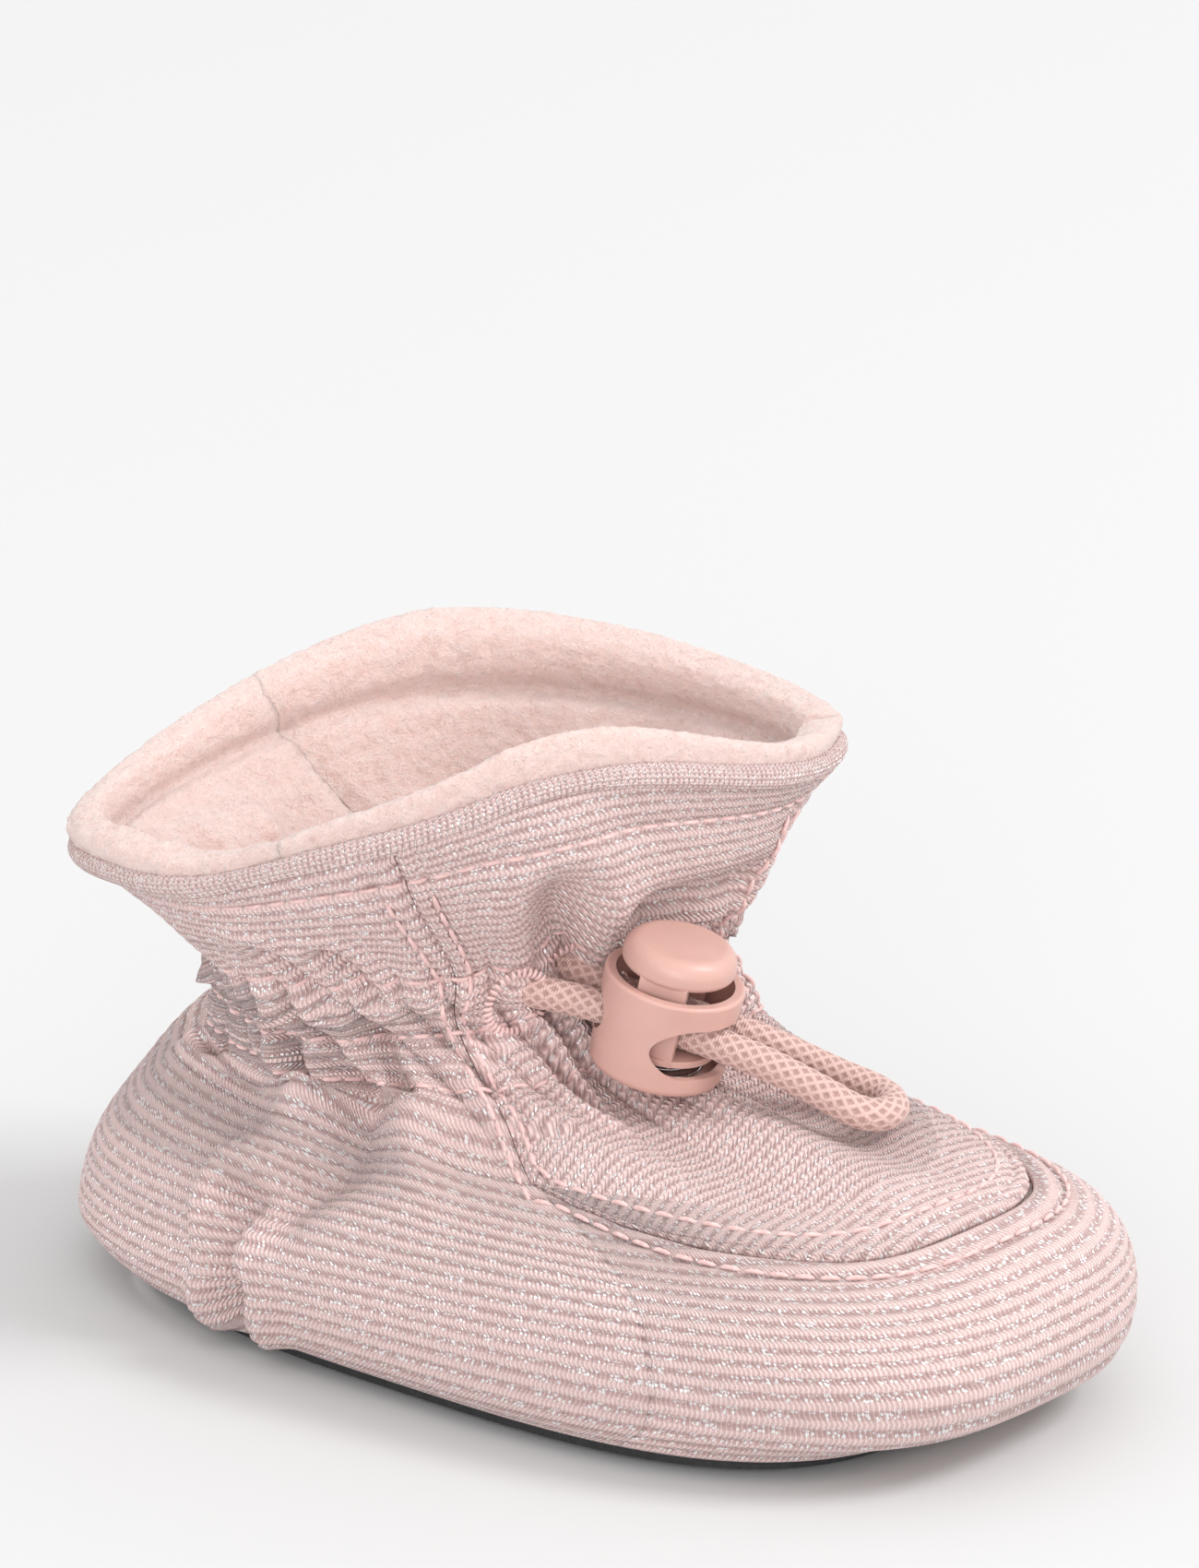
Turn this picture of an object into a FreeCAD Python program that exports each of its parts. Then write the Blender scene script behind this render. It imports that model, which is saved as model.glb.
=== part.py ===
import FreeCAD
import Part
import math
import os

os.makedirs("parts", exist_ok=True)
Vec = FreeCAD.Vector

# Baby bootie, millimetres. +X towards the toe, +Z up, origin under the middle of the sole.

# ---------------------------------------------------------------- driving dimensions
OUTER_THICK = 0.8        # knitted outer fabric
LINING_GAP = 0.15        # air between outer fabric and fleece
LINING_THICK = 2.6       # fleece pile and backing
SEAM_GAP = 0.02          # seam clearance, in rows of the section table
HEEL_GAP = 0.06          # half width of the heel seam
SEAM_TURN = 0.4          # seam clearance either side, degrees

STUD_H = 0.7             # grip stud height
STUD_R = 1.05
STUD_PITCH = 4.0
STUD_MARGIN = 2.2        # bare edge of the sole
SOLE_THICK = 1.2         # rubber sheet above the studs
SOLE_HALF = (46.0, 28.0)     # half length and half width of the rubber sheet
PAD_HALF = (45.0, 27.0)
PAD_THICK = 2.0
INSOLE_HALF = (47.8, 25.3)
INSOLE_THICK = 2.4

BINDING_ROWS = 0.3       # rows of the section table covered by the rim binding
LINING_SEAM = 62.0       # degrees either side of the toe
LINING_SLIT = 0.5
LINING_LOW_ROW = 0.75
LINING_TOP_ROW = 9.95
ELASTIC_ROWS = (6.35, 6.65)
ELASTIC_THICK = 0.5
ELASTIC_GAP = 0.12
ALL_SIDES = ("left", "right", "low", "top")

CORD_R = 1.8             # drawcord, 3.6 mm round braid
CORD_ROW = 7.3           # row of the section table where the casing runs
CORD_DEPTH = 2.85        # cord centre below the outer face
EXIT_GAP = 0.5           # room round the cord where it passes through the outer fabric
BUTTONHOLE_R = 3.4
BUTTONHOLE_THREAD_R = 0.3
BUTTONHOLE_SEAT_GAP = 0.04
CASING_STAND_OFF = 4.8   # how far the fleece stands off the outer fabric at the casing
CASING_SPREAD = 0.7      # rows

LOCK_BASE = Vec(8.2, -1.2, 30.3)       # centre of the lock's underside
LOCK_UP = Vec(0.2244, 0.0487, 0.9732)  # lock axis
LOCK_OUT = Vec(0.890, 0.396, -0.225)   # the way the cord leaves the lock
BARREL_R = 7.2
BARREL_H = 10.4
BARREL_FOOT_R = 6.8
CHAMBER_R = 6.1
FLOOR_H = 0.9
WINDOW_LOW = 2.2         # window the cord leaves by
WINDOW_TOP = 7.85
WINDOW_WIDE = 12.8
WINDOW_HEADING = -20.0
ENTRY_WIDE = 8.9         # slot the cord comes in by
ENTRY_HALF_HIGH = 2.3
SLOT_INSIDE = 2.0        # where both openings start, from the lock axis
SLOT_REACH = 9.0
CORD_H = 5.75            # cord centre above the lock's underside
CAP_R = 5.8
CAP_LOW = 11.3
CAP_H = 3.0
FOOT_DISC_R = 5.6
FOOT_DISC_LOW = 2.9
FOOT_DISC_H = 0.7
LEG_IN = 4.15
LEG_OUT = 5.2
LEG_WIDE = 5.0
SPRING_WIRE = 0.2        # wire radius of the conical spring, whose coils nest when pressed
SPRING_FOOT_R = 4.9
SPRING_TOP_R = 2.9
SPRING_TURNS = 3
SPRING_GAP = 0.03

STITCH_LONG = 2.0
STITCH_PITCH = 2.5
STITCH_WIDE = 0.4
STITCH_HIGH = 0.3
STITCH_LIFT = 0.12
STITCH_CLEAR = 0.55        # least distance between the middles of two crossing rows
RIM_STITCH_ROW = 9.45
STITCH_END = 179.0       # degrees, where the round rows stop beside the heel seam
SEAM_STITCH_ROWS = 0.3   # distance of the vamp stitching from the seam
SEAM_STITCH_TURN = 4.0
SEAM_LINE_TOP = 9.3
HEEL_STITCH_OFF = 1.6
HEEL_STITCH_ROWS = (0.5, 9.3)
CASING_STITCHES = [("casing_stitch_upper", 7.85), ("casing_stitch_middle", 6.75),
                   ("casing_stitch_lower", 6.15)]

# Centre line of the free drawcord: out of the near hole, through the lock, round the end
# of the loop, back through the lock and into the far hole.
LOOP_ROUTE = [Vec(-10.4, -13.9, 38.1), Vec(-7.2, -10.9, 38.3), Vec(2.3, -6.4, 37.8),
              Vec(18.0, 0.7, 33.8), Vec(25.2, 4.0, 30.4), Vec(29.3, 5.9, 28.1),
              Vec(30.2, 10.1, 27.5), Vec(26.9, 12.9, 27.8), Vec(22.4, 10.6, 29.4),
              Vec(16.9, 4.6, 33.9), Vec(5.2, -0.6, 36.8), Vec(-1.9, -2.6, 38.6),
              Vec(-4.4, -0.8, 39.4), Vec(-3.3, 2.9, 39.75)]
BUTTONHOLES = [(-27.0, 7.25), (-9.0, 7.3)]

# Cross-sections of the bootie from the sole edge (row 0) up to the rim (row 10).
# Each is a rounded oval: centre x, centre y, half length, half width, turn of the long
# side in degrees, squareness, taper, skew, twist, height, rise along x, rise along y,
# saddle, cross saddle, and the depth of the dent behind the cord lock.
SECTIONS = [
    (-2.0, 0.0, 47.5, 29.0, 0, 0.66, 0.02, 1, 0, 2.0, 0.00, 0.00, 0.0, 0, 0.0),
    (-1.5, 0.0, 56.0, 30.5, 0, 0.70, 0.02, 2, 0, 5.0, 0.01, 0.00, 0.0, 0, 0.0),
    (-0.5, 0.0, 58.5, 31.5, 0, 0.74, 0.02, 2, 0, 10.0, 0.05, 0.00, 0.0, 0, 0.0),
    (-2.0, 0.0, 56.5, 30.0, 0, 0.78, 0.02, 2, 0, 16.5, 0.05, 0.00, 0.0, 0, 0.0),
    (-5.5, 0.0, 49.0, 26.5, 0, 0.84, 0.02, 1, 0, 21.5, 0.03, 0.00, 0.0, 0, 0.0),
    (-10.5, 0.0, 38.0, 23.0, 5, 0.92, 0.00, 0, 0, 25.5, 0.01, 0.00, 0.0, 0, 0.0),
    (-13.0, 0.0, 30.0, 19.5, 20, 1.00, 0.00, 0, 0, 28.0, 0.03, 0.00, 0.0, 0, 12.0),
    (-17.0, 0.0, 24.5, 18.0, 41, 1.00, 0.00, 0, -5, 35.0, 0.08, 0.00, 0.0, 0, 6.5),
    (-17.0, 0.0, 28.0, 20.0, 45, 1.00, 0.00, 0, -10, 41.0, 0.06, 0.02, 0.0, 0, 4.5),
    (-18.0, 0.0, 33.5, 24.0, 48, 1.04, 0.00, 0, -13, 48.0, 0.04, 0.07, -0.5, 0, 1.5),
    (-19.0, 0.5, 40.0, 29.5, 48, 1.18, 0.00, 0, -16, 56.0, 0.05, 0.10, -3.5, 0, 0.0),
]
DENT_WIDTH = 36.0        # degrees
TOP_ROW = len(SECTIONS) - 1

# Seam between the front panel and the wrap: a level line round the toe that turns up at the
# corners, then an angle at each height of the shaft.
SEAM_TOE_ROW = 3.35
SEAM_TOE_LEAN = 0.006    # rows per degree, lower on the near side
SEAM_TOE_SHARPNESS = 6
SEAM_SHAFT = [(4.4, 71), (6.3, 57), (7.6, 45), (10.0, 50)]
TOE_CORNER = 71.0
TOE_CORNER_ROW = 4.4
TOE_EDGE = 60.0          # where the front panel's toe edge hands over to its side edges
SIDE_SHARE = 0.25        # share of a side edge that still follows the toe


# ---------------------------------------------------------------- shape of the bootie
def through(table, x):
    """Smooth curve through a table of (x, y) pairs."""
    n = len(table)
    k = 0
    while k < n - 2 and x > table[k + 1][0]:
        k += 1
    x0, y0 = table[k]
    x1, y1 = table[k + 1]
    before = table[max(k - 1, 0)]
    after = table[min(k + 2, n - 1)]
    span = x1 - x0
    m0 = (y1 - before[1]) / (x1 - before[0]) * span
    m1 = (after[1] - y0) / (after[0] - x0) * span
    f = min(max((x - x0) / span, 0.0), 1.0)
    return ((2 * f**3 - 3 * f**2 + 1) * y0 + (f**3 - 2 * f**2 + f) * m0
            + (3 * f**2 - 2 * f**3) * y1 + (f**3 - f**2) * m1)


def section_at(row):
    """Section values between two rows of the table."""
    n = len(SECTIONS)
    k = int(min(max(math.floor(row), 0), n - 2))
    f = row - k
    weights = (-0.5 * f**3 + f**2 - 0.5 * f, 1.5 * f**3 - 2.5 * f**2 + 1,
               -1.5 * f**3 + 2 * f**2 + 0.5 * f, 0.5 * f**3 - 0.5 * f**2)
    first, last = SECTIONS[0], SECTIONS[-1]
    before = SECTIONS[k - 1] if k > 0 else [2 * a - b for a, b in zip(first, SECTIONS[1])]
    after = SECTIONS[k + 2] if k < n - 2 else [2 * a - b for a, b in zip(last, SECTIONS[-2])]
    rows = (before, SECTIONS[k], SECTIONS[k + 1], after)
    return [sum(w * r[i] for w, r in zip(weights, rows)) for i in range(len(first))]


def oval(sec, angle, inset_h=0.0, inset_z=0.0):
    """Point of a section at an angle in degrees, moved in and down by the insets."""
    xc, yc, half_x, half_y, turn, square, taper, skew, twist, z0, zx, zy, saddle, cross, dent = sec
    t = math.radians(angle + twist)
    psi = math.radians(turn)
    cr = math.cos(t - psi)
    sr = math.sin(t - psi)
    c = math.copysign(abs(cr)**square, cr)
    s = math.copysign(abs(sr)**square, sr)
    p = (half_x - inset_h) * c
    q = (half_y - inset_h) * s * (1 + taper * c) + skew * c
    x = p * math.cos(psi) - q * math.sin(psi)
    y = p * math.sin(psi) + q * math.cos(psi)
    z = z0 + zx * x + zy * y + saddle * (cr * cr - sr * sr) + cross * 2 * cr * sr
    wrapped = (angle + 180.0) % 360.0 - 180.0
    x -= dent * math.exp(-(wrapped / DENT_WIDTH)**2)
    return Vec(xc + x, yc + y, z - inset_z)


def normal_at(angle, row):
    """Outward normal of the outer face."""
    low, high = max(row - 0.05, 0.0), min(row + 0.05, TOP_ROW)
    mid = section_at(row)
    round_dir = oval(mid, angle + 1) - oval(mid, angle - 1)
    up_dir = oval(section_at(high), angle) - oval(section_at(low), angle)
    n = round_dir.cross(up_dir)
    n.normalize()
    return n


def skin(angle, row, depth=0.0):
    """Point at a depth below the outer face."""
    if depth == 0.0:
        return oval(section_at(row), angle)
    n = normal_at(angle, row)
    return oval(section_at(row), angle, depth * math.hypot(n.x, n.y), depth * n.z)


def lining_depth(row):
    """Depth of the fleece's back, which stands off the outer fabric round the casing."""
    rim_step = 0.35 * min(max((row - 9.1) / 0.4, 0.0), 1.0)
    stand_off = CASING_STAND_OFF * math.exp(-((row - CORD_ROW) / CASING_SPREAD)**2)
    return OUTER_THICK + LINING_GAP + rim_step + stand_off


def beside_heel(row, distance, side):
    """Angle at a distance along the skin from the middle of the heel."""
    sec = section_at(row)
    heel = oval(sec, 180.0)
    close, far = 0.0, 20.0
    for _ in range(30):
        middle = (close + far) / 2
        if (oval(sec, side * (180.0 - middle)) - heel).Length < distance:
            close = middle
        else:
            far = middle
    return side * (180.0 - close)


def heel_edge(side):
    return lambda row: beside_heel(row, HEEL_GAP, side)


# ---------------------------------------------------------------- faces and solids
def knot_rule(count, degree):
    inner = count - degree
    return [float(i) for i in range(inner + 1)], [degree + 1] + [1] * (inner - 1) + [degree + 1]


def spline_face(poles, degree_u=3, degree_v=3):
    surface = Part.BSplineSurface()
    uk, um = knot_rule(len(poles), degree_u)
    vk, vm = knot_rule(len(poles[0]), degree_v)
    surface.buildFromPolesMultsKnots(poles, um, vm, uk, vk, False, False, degree_u, degree_v)
    return surface.toShape()


def closed_solid(faces):
    shell = Part.makeShell(faces)
    shell.sewShape()
    solid = Part.makeSolid(shell.Shells[0])
    if solid.Volume < 0:
        solid.reverse()
    return solid


def panel(patches, outer_depth, inner_depth):
    """Solid between two depths over patches of (angle, row) space.

    A patch is (function of u and v, columns, rows, sides that are the panel's own edge).
    """
    faces = []
    for place, columns, rows, sides in patches:
        spots = [[place(i / (columns - 1.0), j / (rows - 1.0)) for j in range(rows)]
                 for i in range(columns)]
        outer = [[skin(a, r, outer_depth(r)) for a, r in line] for line in spots]
        inner = [[skin(a, r, inner_depth(r)) for a, r in line] for line in spots]
        faces += [spline_face(outer), spline_face(inner)]
        edges = {"left": (outer[0], inner[0]), "right": (outer[-1], inner[-1]),
                 "low": ([c[0] for c in outer], [c[0] for c in inner]),
                 "top": ([c[-1] for c in outer], [c[-1] for c in inner])}
        for side in sides:
            first, second = edges[side]
            faces.append(spline_face([[a, b] for a, b in zip(first, second)], 3, 1))
    return closed_solid(faces)


def constant(value):
    return lambda row: value


def block(first_edge, last_edge, row_0, row_1):
    """Patch between two edges, each given as its angle at every row."""
    def place(u, v):
        row = row_0 + (row_1 - row_0) * v
        first, last = first_edge(row), last_edge(row)
        return first + (last - first) * u, row
    return place


def save(shape, name):
    shape.exportStep("parts/" + name + ".step")


def slab(half, low, high, shrink=0.0):
    """Flat plate with the outline of the sole."""
    sec = list(SECTIONS[0])
    sec[2], sec[3] = half[0] - shrink, half[1] - shrink
    points = [oval(sec, 3.0 * i) for i in range(120)]
    for p in points:
        p.z = low
    outline = Part.BSplineCurve()
    outline.interpolate(points, PeriodicFlag=True)
    face = Part.Face(Part.Wire([outline.toShape()]))
    return face.extrude(Vec(0, 0, high - low))


# ---------------------------------------------------------------- outer fabric
def seam_row(angle):
    share = (abs(angle) / TOE_CORNER)**SEAM_TOE_SHARPNESS
    return (1 - share) * (SEAM_TOE_ROW + SEAM_TOE_LEAN * angle) + share * TOE_CORNER_ROW


def seam_angle(row):
    return through(SEAM_SHAFT, row)


def wrap_toe(u, v):
    angle = TOE_CORNER * (2 * u - 1)
    return angle, v * (seam_row(angle) - SEAM_GAP)


def wrap_low(sign):
    return block(constant(sign * TOE_CORNER), heel_edge(sign), 0.0, TOE_CORNER_ROW - SEAM_GAP)


def wrap_high(sign, top):
    def place(u, v):
        row = TOE_CORNER_ROW - SEAM_GAP + (top - TOE_CORNER_ROW + SEAM_GAP) * v
        front = sign * (seam_angle(row) + SEAM_TURN * min(v * 8, 1))
        return front + (beside_heel(row, HEEL_GAP, sign) - front) * u, row
    return place


def front_edge(sign, v, top):
    """Side of the front panel, from the toe curve up to the rim."""
    if v < SIDE_SHARE:
        share = v / SIDE_SHARE
        angle = TOE_EDGE + (TOE_CORNER - TOE_EDGE) * share
        return sign * (angle - SEAM_TURN * share), seam_row(sign * angle) + SEAM_GAP
    low = TOE_CORNER_ROW + SEAM_GAP
    row = low + (top - low) * (v - SIDE_SHARE) / (1 - SIDE_SHARE)
    return sign * (seam_angle(row) - SEAM_TURN), row


def front_place(top):
    near_top, far_top = front_edge(-1, 1, top)[0], front_edge(1, 1, top)[0]

    def place(u, v):
        left, right = front_edge(-1, v, top), front_edge(1, v, top)
        low_angle = TOE_EDGE * (2 * u - 1)
        low = (low_angle, seam_row(low_angle) + SEAM_GAP)
        high = (near_top + (far_top - near_top) * u, top)
        corners = (front_edge(-1, 0, top), front_edge(1, 0, top), (near_top, top), (far_top, top))
        out = []
        for k in (0, 1):
            ends = (1 - u) * left[k] + u * right[k]
            rungs = (1 - v) * low[k] + v * high[k]
            flat = ((1 - u) * (1 - v) * corners[0][k] + u * (1 - v) * corners[1][k]
                    + (1 - u) * v * corners[2][k] + u * v * corners[3][k])
            out.append(ends + rungs - flat)
        return tuple(out)
    return place


def bored_path(points, radius):
    """Round-cornered tool that clears a way along a line of points."""
    tool = Part.makeSphere(radius, points[0])
    for start, end in zip(points, points[1:]):
        run = end - start
        tool = tool.fuse(Part.makeCylinder(radius, run.Length, start, run))
        tool = tool.fuse(Part.makeSphere(radius, end))
    return tool


def buttonhole_rings(thread_radius):
    """Ring round each hole where the cord leaves the casing."""
    return [Part.makeTorus(BUTTONHOLE_R, thread_radius, skin(angle, row), normal_at(angle, row))
            for angle, row in BUTTONHOLES]


def build_outer():
    """Wrap (side wall, heel and back of the shaft) and front panel (vamp and front shaft)."""
    top = TOP_ROW - BINDING_ROWS - 1.5 * SEAM_GAP
    wrap = panel(
        [(wrap_toe, 41, 15, ("low", "top")),
         (wrap_low(1), 31, 15, ("low", "right")),
         (wrap_low(-1), 31, 15, ("low", "right")),
         (wrap_high(1, top), 31, 25, ("left", "right", "top")),
         (wrap_high(-1, top), 31, 25, ("left", "right", "top"))],
        constant(0.0), constant(OUTER_THICK))
    front = panel([(front_place(top), 41, 41, ("left", "right", "low", "top"))],
                  constant(0.0), constant(OUTER_THICK))
    for way_out in (LOOP_ROUTE[:3], LOOP_ROUTE[-4:]):
        front = front.cut(bored_path(way_out, CORD_R + EXIT_GAP))
    for seat in buttonhole_rings(BUTTONHOLE_THREAD_R + BUTTONHOLE_SEAT_GAP):
        front = front.cut(seat)
    save(wrap, "side_wall_wrap")
    save(front, "vamp_front_panel")


def build_binding():
    """Folded strip round the rim, proud of the outer fabric on both sides."""
    band = block(heel_edge(-1), heel_edge(1), TOP_ROW - BINDING_ROWS, TOP_ROW)
    save(panel([(band, 121, 5, ALL_SIDES)], constant(-0.25), constant(1.1)), "rim_binding")


def build_lining():
    front_depth = lambda row: lining_depth(row) + LINING_THICK
    inner = LINING_SEAM - LINING_SLIT
    outer = LINING_SEAM + LINING_SLIT
    edges = {"lining_front": (constant(-inner), constant(inner)),
             "lining_near_side": (heel_edge(-1), constant(-outer)),
             "lining_far_side": (constant(outer), heel_edge(1))}
    for name, (first_edge, last_edge) in edges.items():
        place = block(first_edge, last_edge, LINING_LOW_ROW, LINING_TOP_ROW)
        save(panel([(place, 41, 45, ALL_SIDES)], lining_depth, front_depth), name)


def build_elastic():
    """Flat elastic in the lower casing, which gathers the ankle."""
    place = block(heel_edge(-1), heel_edge(1), ELASTIC_ROWS[0], ELASTIC_ROWS[1])
    depth = OUTER_THICK + ELASTIC_GAP
    save(panel([(place, 121, 6, ALL_SIDES)], constant(depth), constant(depth + ELASTIC_THICK)),
         "ankle_elastic")


# ---------------------------------------------------------------- sole
def build_sole():
    studs = []
    row_step = STUD_PITCH * math.sqrt(3) / 2
    rows = int(SOLE_HALF[1] / row_step) + 1
    for j in range(-rows, rows + 1):
        shift = STUD_PITCH / 2 if j % 2 else 0.0
        count = int(SOLE_HALF[0] / STUD_PITCH) + 2
        for i in range(-count, count + 1):
            x, y = i * STUD_PITCH + shift, j * row_step
            along = abs(x - SECTIONS[0][0]) / (SOLE_HALF[0] - STUD_MARGIN)
            across = abs(y) / (SOLE_HALF[1] - STUD_MARGIN)
            if along**2.6 + across**2.6 < 1:
                studs.append(Part.makeCone(STUD_R * 0.8, STUD_R, STUD_H + 0.2, Vec(x, y, 0)))
    sheet = slab(SOLE_HALF, STUD_H, STUD_H + SOLE_THICK)
    outsole = sheet.multiFuse(studs)
    save(outsole, "outsole")
    pad_low = STUD_H + SOLE_THICK + 0.1
    save(slab(PAD_HALF, pad_low, pad_low + PAD_THICK), "sole_padding")
    insole_low = pad_low + PAD_THICK + 0.15
    save(slab(INSOLE_HALF, insole_low, insole_low + INSOLE_THICK), "insole_fleece")
    print("studs", len(studs), "outsole volume", outsole.Volume, outsole.isValid())


# ---------------------------------------------------------------- drawcord
def tube_along(points, radius, name):
    """Tube of straight runs joined by tangent arcs."""
    edges = []
    start = points[0]
    radii = []
    for before, corner, after in zip(points, points[1:], points[2:]):
        back, ahead = before - corner, after - corner
        reach = 0.45 * min(back.Length, ahead.Length)
        turn = math.pi - back.getAngle(ahead)
        radii.append(reach / math.tan(turn / 2))
        unit_back = Vec(back).normalize()
        unit_ahead = Vec(ahead).normalize()
        first = corner + unit_back * reach
        last = corner + unit_ahead * reach
        bulge = (unit_back + unit_ahead).normalize()
        centre_far = radii[-1] / math.cos(turn / 2) - radii[-1]
        edges.append(Part.LineSegment(start, first).toShape())
        edges.append(Part.Arc(first, corner + bulge * centre_far, last).toShape())
        start = last
    edges.append(Part.LineSegment(start, points[-1]).toShape())
    path = Part.Wire(edges)
    ring = Part.Wire([Part.makeCircle(radius, points[0], points[1] - points[0])])
    tube = path.makePipeShell([ring], True, True)
    print(name, "length", round(path.Length, 1), "radii", [round(r, 1) for r in radii])
    print(name, "volume ratio", tube.Volume / (math.pi * radius**2 * path.Length), tube.isValid())
    return tube


def build_cord():
    save(tube_along(LOOP_ROUTE, CORD_R, "drawcord_loop"), "drawcord_loop")
    line = [LOOP_ROUTE[-1]]
    for angle in range(20, 301, 10):
        line.append(skin(angle, CORD_ROW, CORD_DEPTH))
    line.append(LOOP_ROUTE[0])
    curve = Part.BSplineCurve()
    curve.interpolate(line)
    start_way = curve.tangent(curve.FirstParameter)[0]
    path = Part.Wire([curve.toShape()])
    ring = Part.Wire([Part.makeCircle(CORD_R, line[0], start_way)])
    run = path.makePipeShell([ring], True, True)
    print("channel run length", path.Length, run.isValid(),
          run.Volume / (math.pi * CORD_R**2 * path.Length))
    save(run, "drawcord_channel_run")


def build_buttonholes():
    """Overlocked thread rings, sunk in the seats cut for them in the front panel."""
    save(Part.makeCompound(buttonhole_rings(BUTTONHOLE_THREAD_R)), "cord_buttonholes")


# ---------------------------------------------------------------- cord lock
def lock_placement():
    side = LOCK_UP.cross(LOCK_OUT)
    turn = FreeCAD.Rotation(LOCK_OUT, side, LOCK_UP, "ZXY")
    return FreeCAD.Placement(LOCK_BASE, turn)


def in_place(shape):
    shape.Placement = lock_placement()
    return shape


def slot_tool(width, low, top, heading):
    """Round-ended bar lying along a heading, to cut an opening in the barrel."""
    radius = (top - low) / 2.0
    mid = (top + low) / 2.0
    half = width / 2.0 - radius
    bar = Part.makeBox(SLOT_REACH, 2 * half, 2 * radius, Vec(SLOT_INSIDE, -half, low))
    for y in (-half, half):
        end = Part.makeCylinder(radius, SLOT_REACH, Vec(SLOT_INSIDE, y, mid), Vec(1, 0, 0))
        bar = bar.fuse(end)
    bar.rotate(Vec(0, 0, 0), Vec(0, 0, 1), heading)
    return bar


def round_edges(solid, radius, test):
    edges = [e for e in solid.Edges if test(e)]
    return solid.makeFillet(radius, edges)


def at_height(z, radius):
    def test(edge):
        box = edge.BoundBox
        flat = abs(box.ZMax - z) < 0.01 and abs(box.ZMin - z) < 0.01
        return flat and abs(box.XMax - radius) < 0.05
    return test


def build_lock():
    barrel = Part.makeCone(BARREL_FOOT_R, BARREL_R, BARREL_H)
    barrel = barrel.cut(Part.makeCylinder(CHAMBER_R, BARREL_H, Vec(0, 0, FLOOR_H)))
    barrel = round_edges(barrel, 0.9, at_height(0, BARREL_FOOT_R))
    barrel = round_edges(barrel, 0.35, at_height(BARREL_H, BARREL_R))
    barrel = barrel.cut(slot_tool(WINDOW_WIDE, WINDOW_LOW, WINDOW_TOP, WINDOW_HEADING))
    entry = slot_tool(ENTRY_WIDE, CORD_H - ENTRY_HALF_HIGH, CORD_H + ENTRY_HALF_HIGH, 180)
    barrel = barrel.cut(entry)
    save(in_place(barrel), "cord_lock_body")

    cap = Part.makeCylinder(CAP_R, CAP_H, Vec(0, 0, CAP_LOW))
    cap = round_edges(cap, 1.7, at_height(CAP_LOW + CAP_H, CAP_R))
    cap = round_edges(cap, 0.8, at_height(CAP_LOW, CAP_R))
    button = cap.fuse(Part.makeCylinder(FOOT_DISC_R, FOOT_DISC_H, Vec(0, 0, FOOT_DISC_LOW)))
    for y in (LEG_IN, -LEG_OUT):
        leg = Part.makeBox(LEG_WIDE, LEG_OUT - LEG_IN, CAP_LOW + 0.5 - FOOT_DISC_LOW,
                           Vec(-LEG_WIDE / 2, y, FOOT_DISC_LOW))
        button = button.fuse(leg)
    save(in_place(button), "cord_lock_button")

    print("lock", barrel.isValid(), button.isValid(), barrel.Volume, button.Volume)


def build_spring():
    """Conical spring between the barrel floor and the button's foot disc."""
    low = FLOOR_H + SPRING_WIRE + SPRING_GAP
    high = FOOT_DISC_LOW - SPRING_WIRE - SPRING_GAP
    points = []
    steps = SPRING_TURNS * 12
    for k in range(steps + 1):
        share = k / float(steps)
        turn = 2 * math.pi * SPRING_TURNS * share
        radius = SPRING_FOOT_R + (SPRING_TOP_R - SPRING_FOOT_R) * share
        points.append(Vec(radius * math.cos(turn), radius * math.sin(turn),
                          low + (high - low) * share))
    wire = Part.BSplineCurve()
    wire.interpolate(points)
    start_way = wire.tangent(wire.FirstParameter)[0]
    ring = Part.Wire([Part.makeCircle(SPRING_WIRE, points[0], start_way)])
    spring = Part.Wire([wire.toShape()]).makePipeShell([ring], True, True)
    print("spring", spring.isValid(), spring.Volume)
    save(in_place(spring), "cord_lock_spring")


# ---------------------------------------------------------------- stitching
def stitch(start, end, out):
    """One visible stitch: a short flat bar lying on the fabric."""
    along = end - start
    long = along.Length
    along.normalize()
    side = out.cross(along).normalize()
    up = along.cross(side)
    bar = Part.makeBox(long, STITCH_WIDE, STITCH_HIGH, Vec(0, -STITCH_WIDE / 2, 0))
    bar.Placement = FreeCAD.Placement(start + up * STITCH_LIFT,
                                      FreeCAD.Rotation(along, side, up, "XYZ"))
    return bar


def clear_of(lines, start, end):
    """Whether a stitch keeps its distance from the rows already sewn."""
    here = Part.makeLine(start, end)
    near = [line for line in lines if (line.CenterOfMass - start).Length < 2 * STITCH_PITCH]
    return all(here.distToShape(line)[0] > STITCH_CLEAR for line in near)


def stitch_row(name, place, steps, sewn):
    """Row of stitches along a line of (angle, row) places; returns the line of each stitch."""
    spots = [place(i / float(steps)) for i in range(steps + 1)]
    points = [skin(a, r) for a, r in spots]
    bars = []
    lines = []
    travelled = 0.0
    due = 0.0
    start = None
    for k in range(steps):
        if start is None and travelled >= due:
            start = k
            due += STITCH_PITCH
        if start is not None and (points[k] - points[start]).Length >= STITCH_LONG:
            out = normal_at(*spots[(start + k) // 2])
            if clear_of(sewn, points[start], points[k]):
                bars.append(stitch(points[start], points[k], out))
                lines.append(Part.makeLine(points[start], points[k]))
            start = None
        travelled += (points[k + 1] - points[k]).Length
    save(Part.makeCompound(bars), name)
    print(name, len(bars), "stitches over", round(travelled, 1))
    return lines


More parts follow.
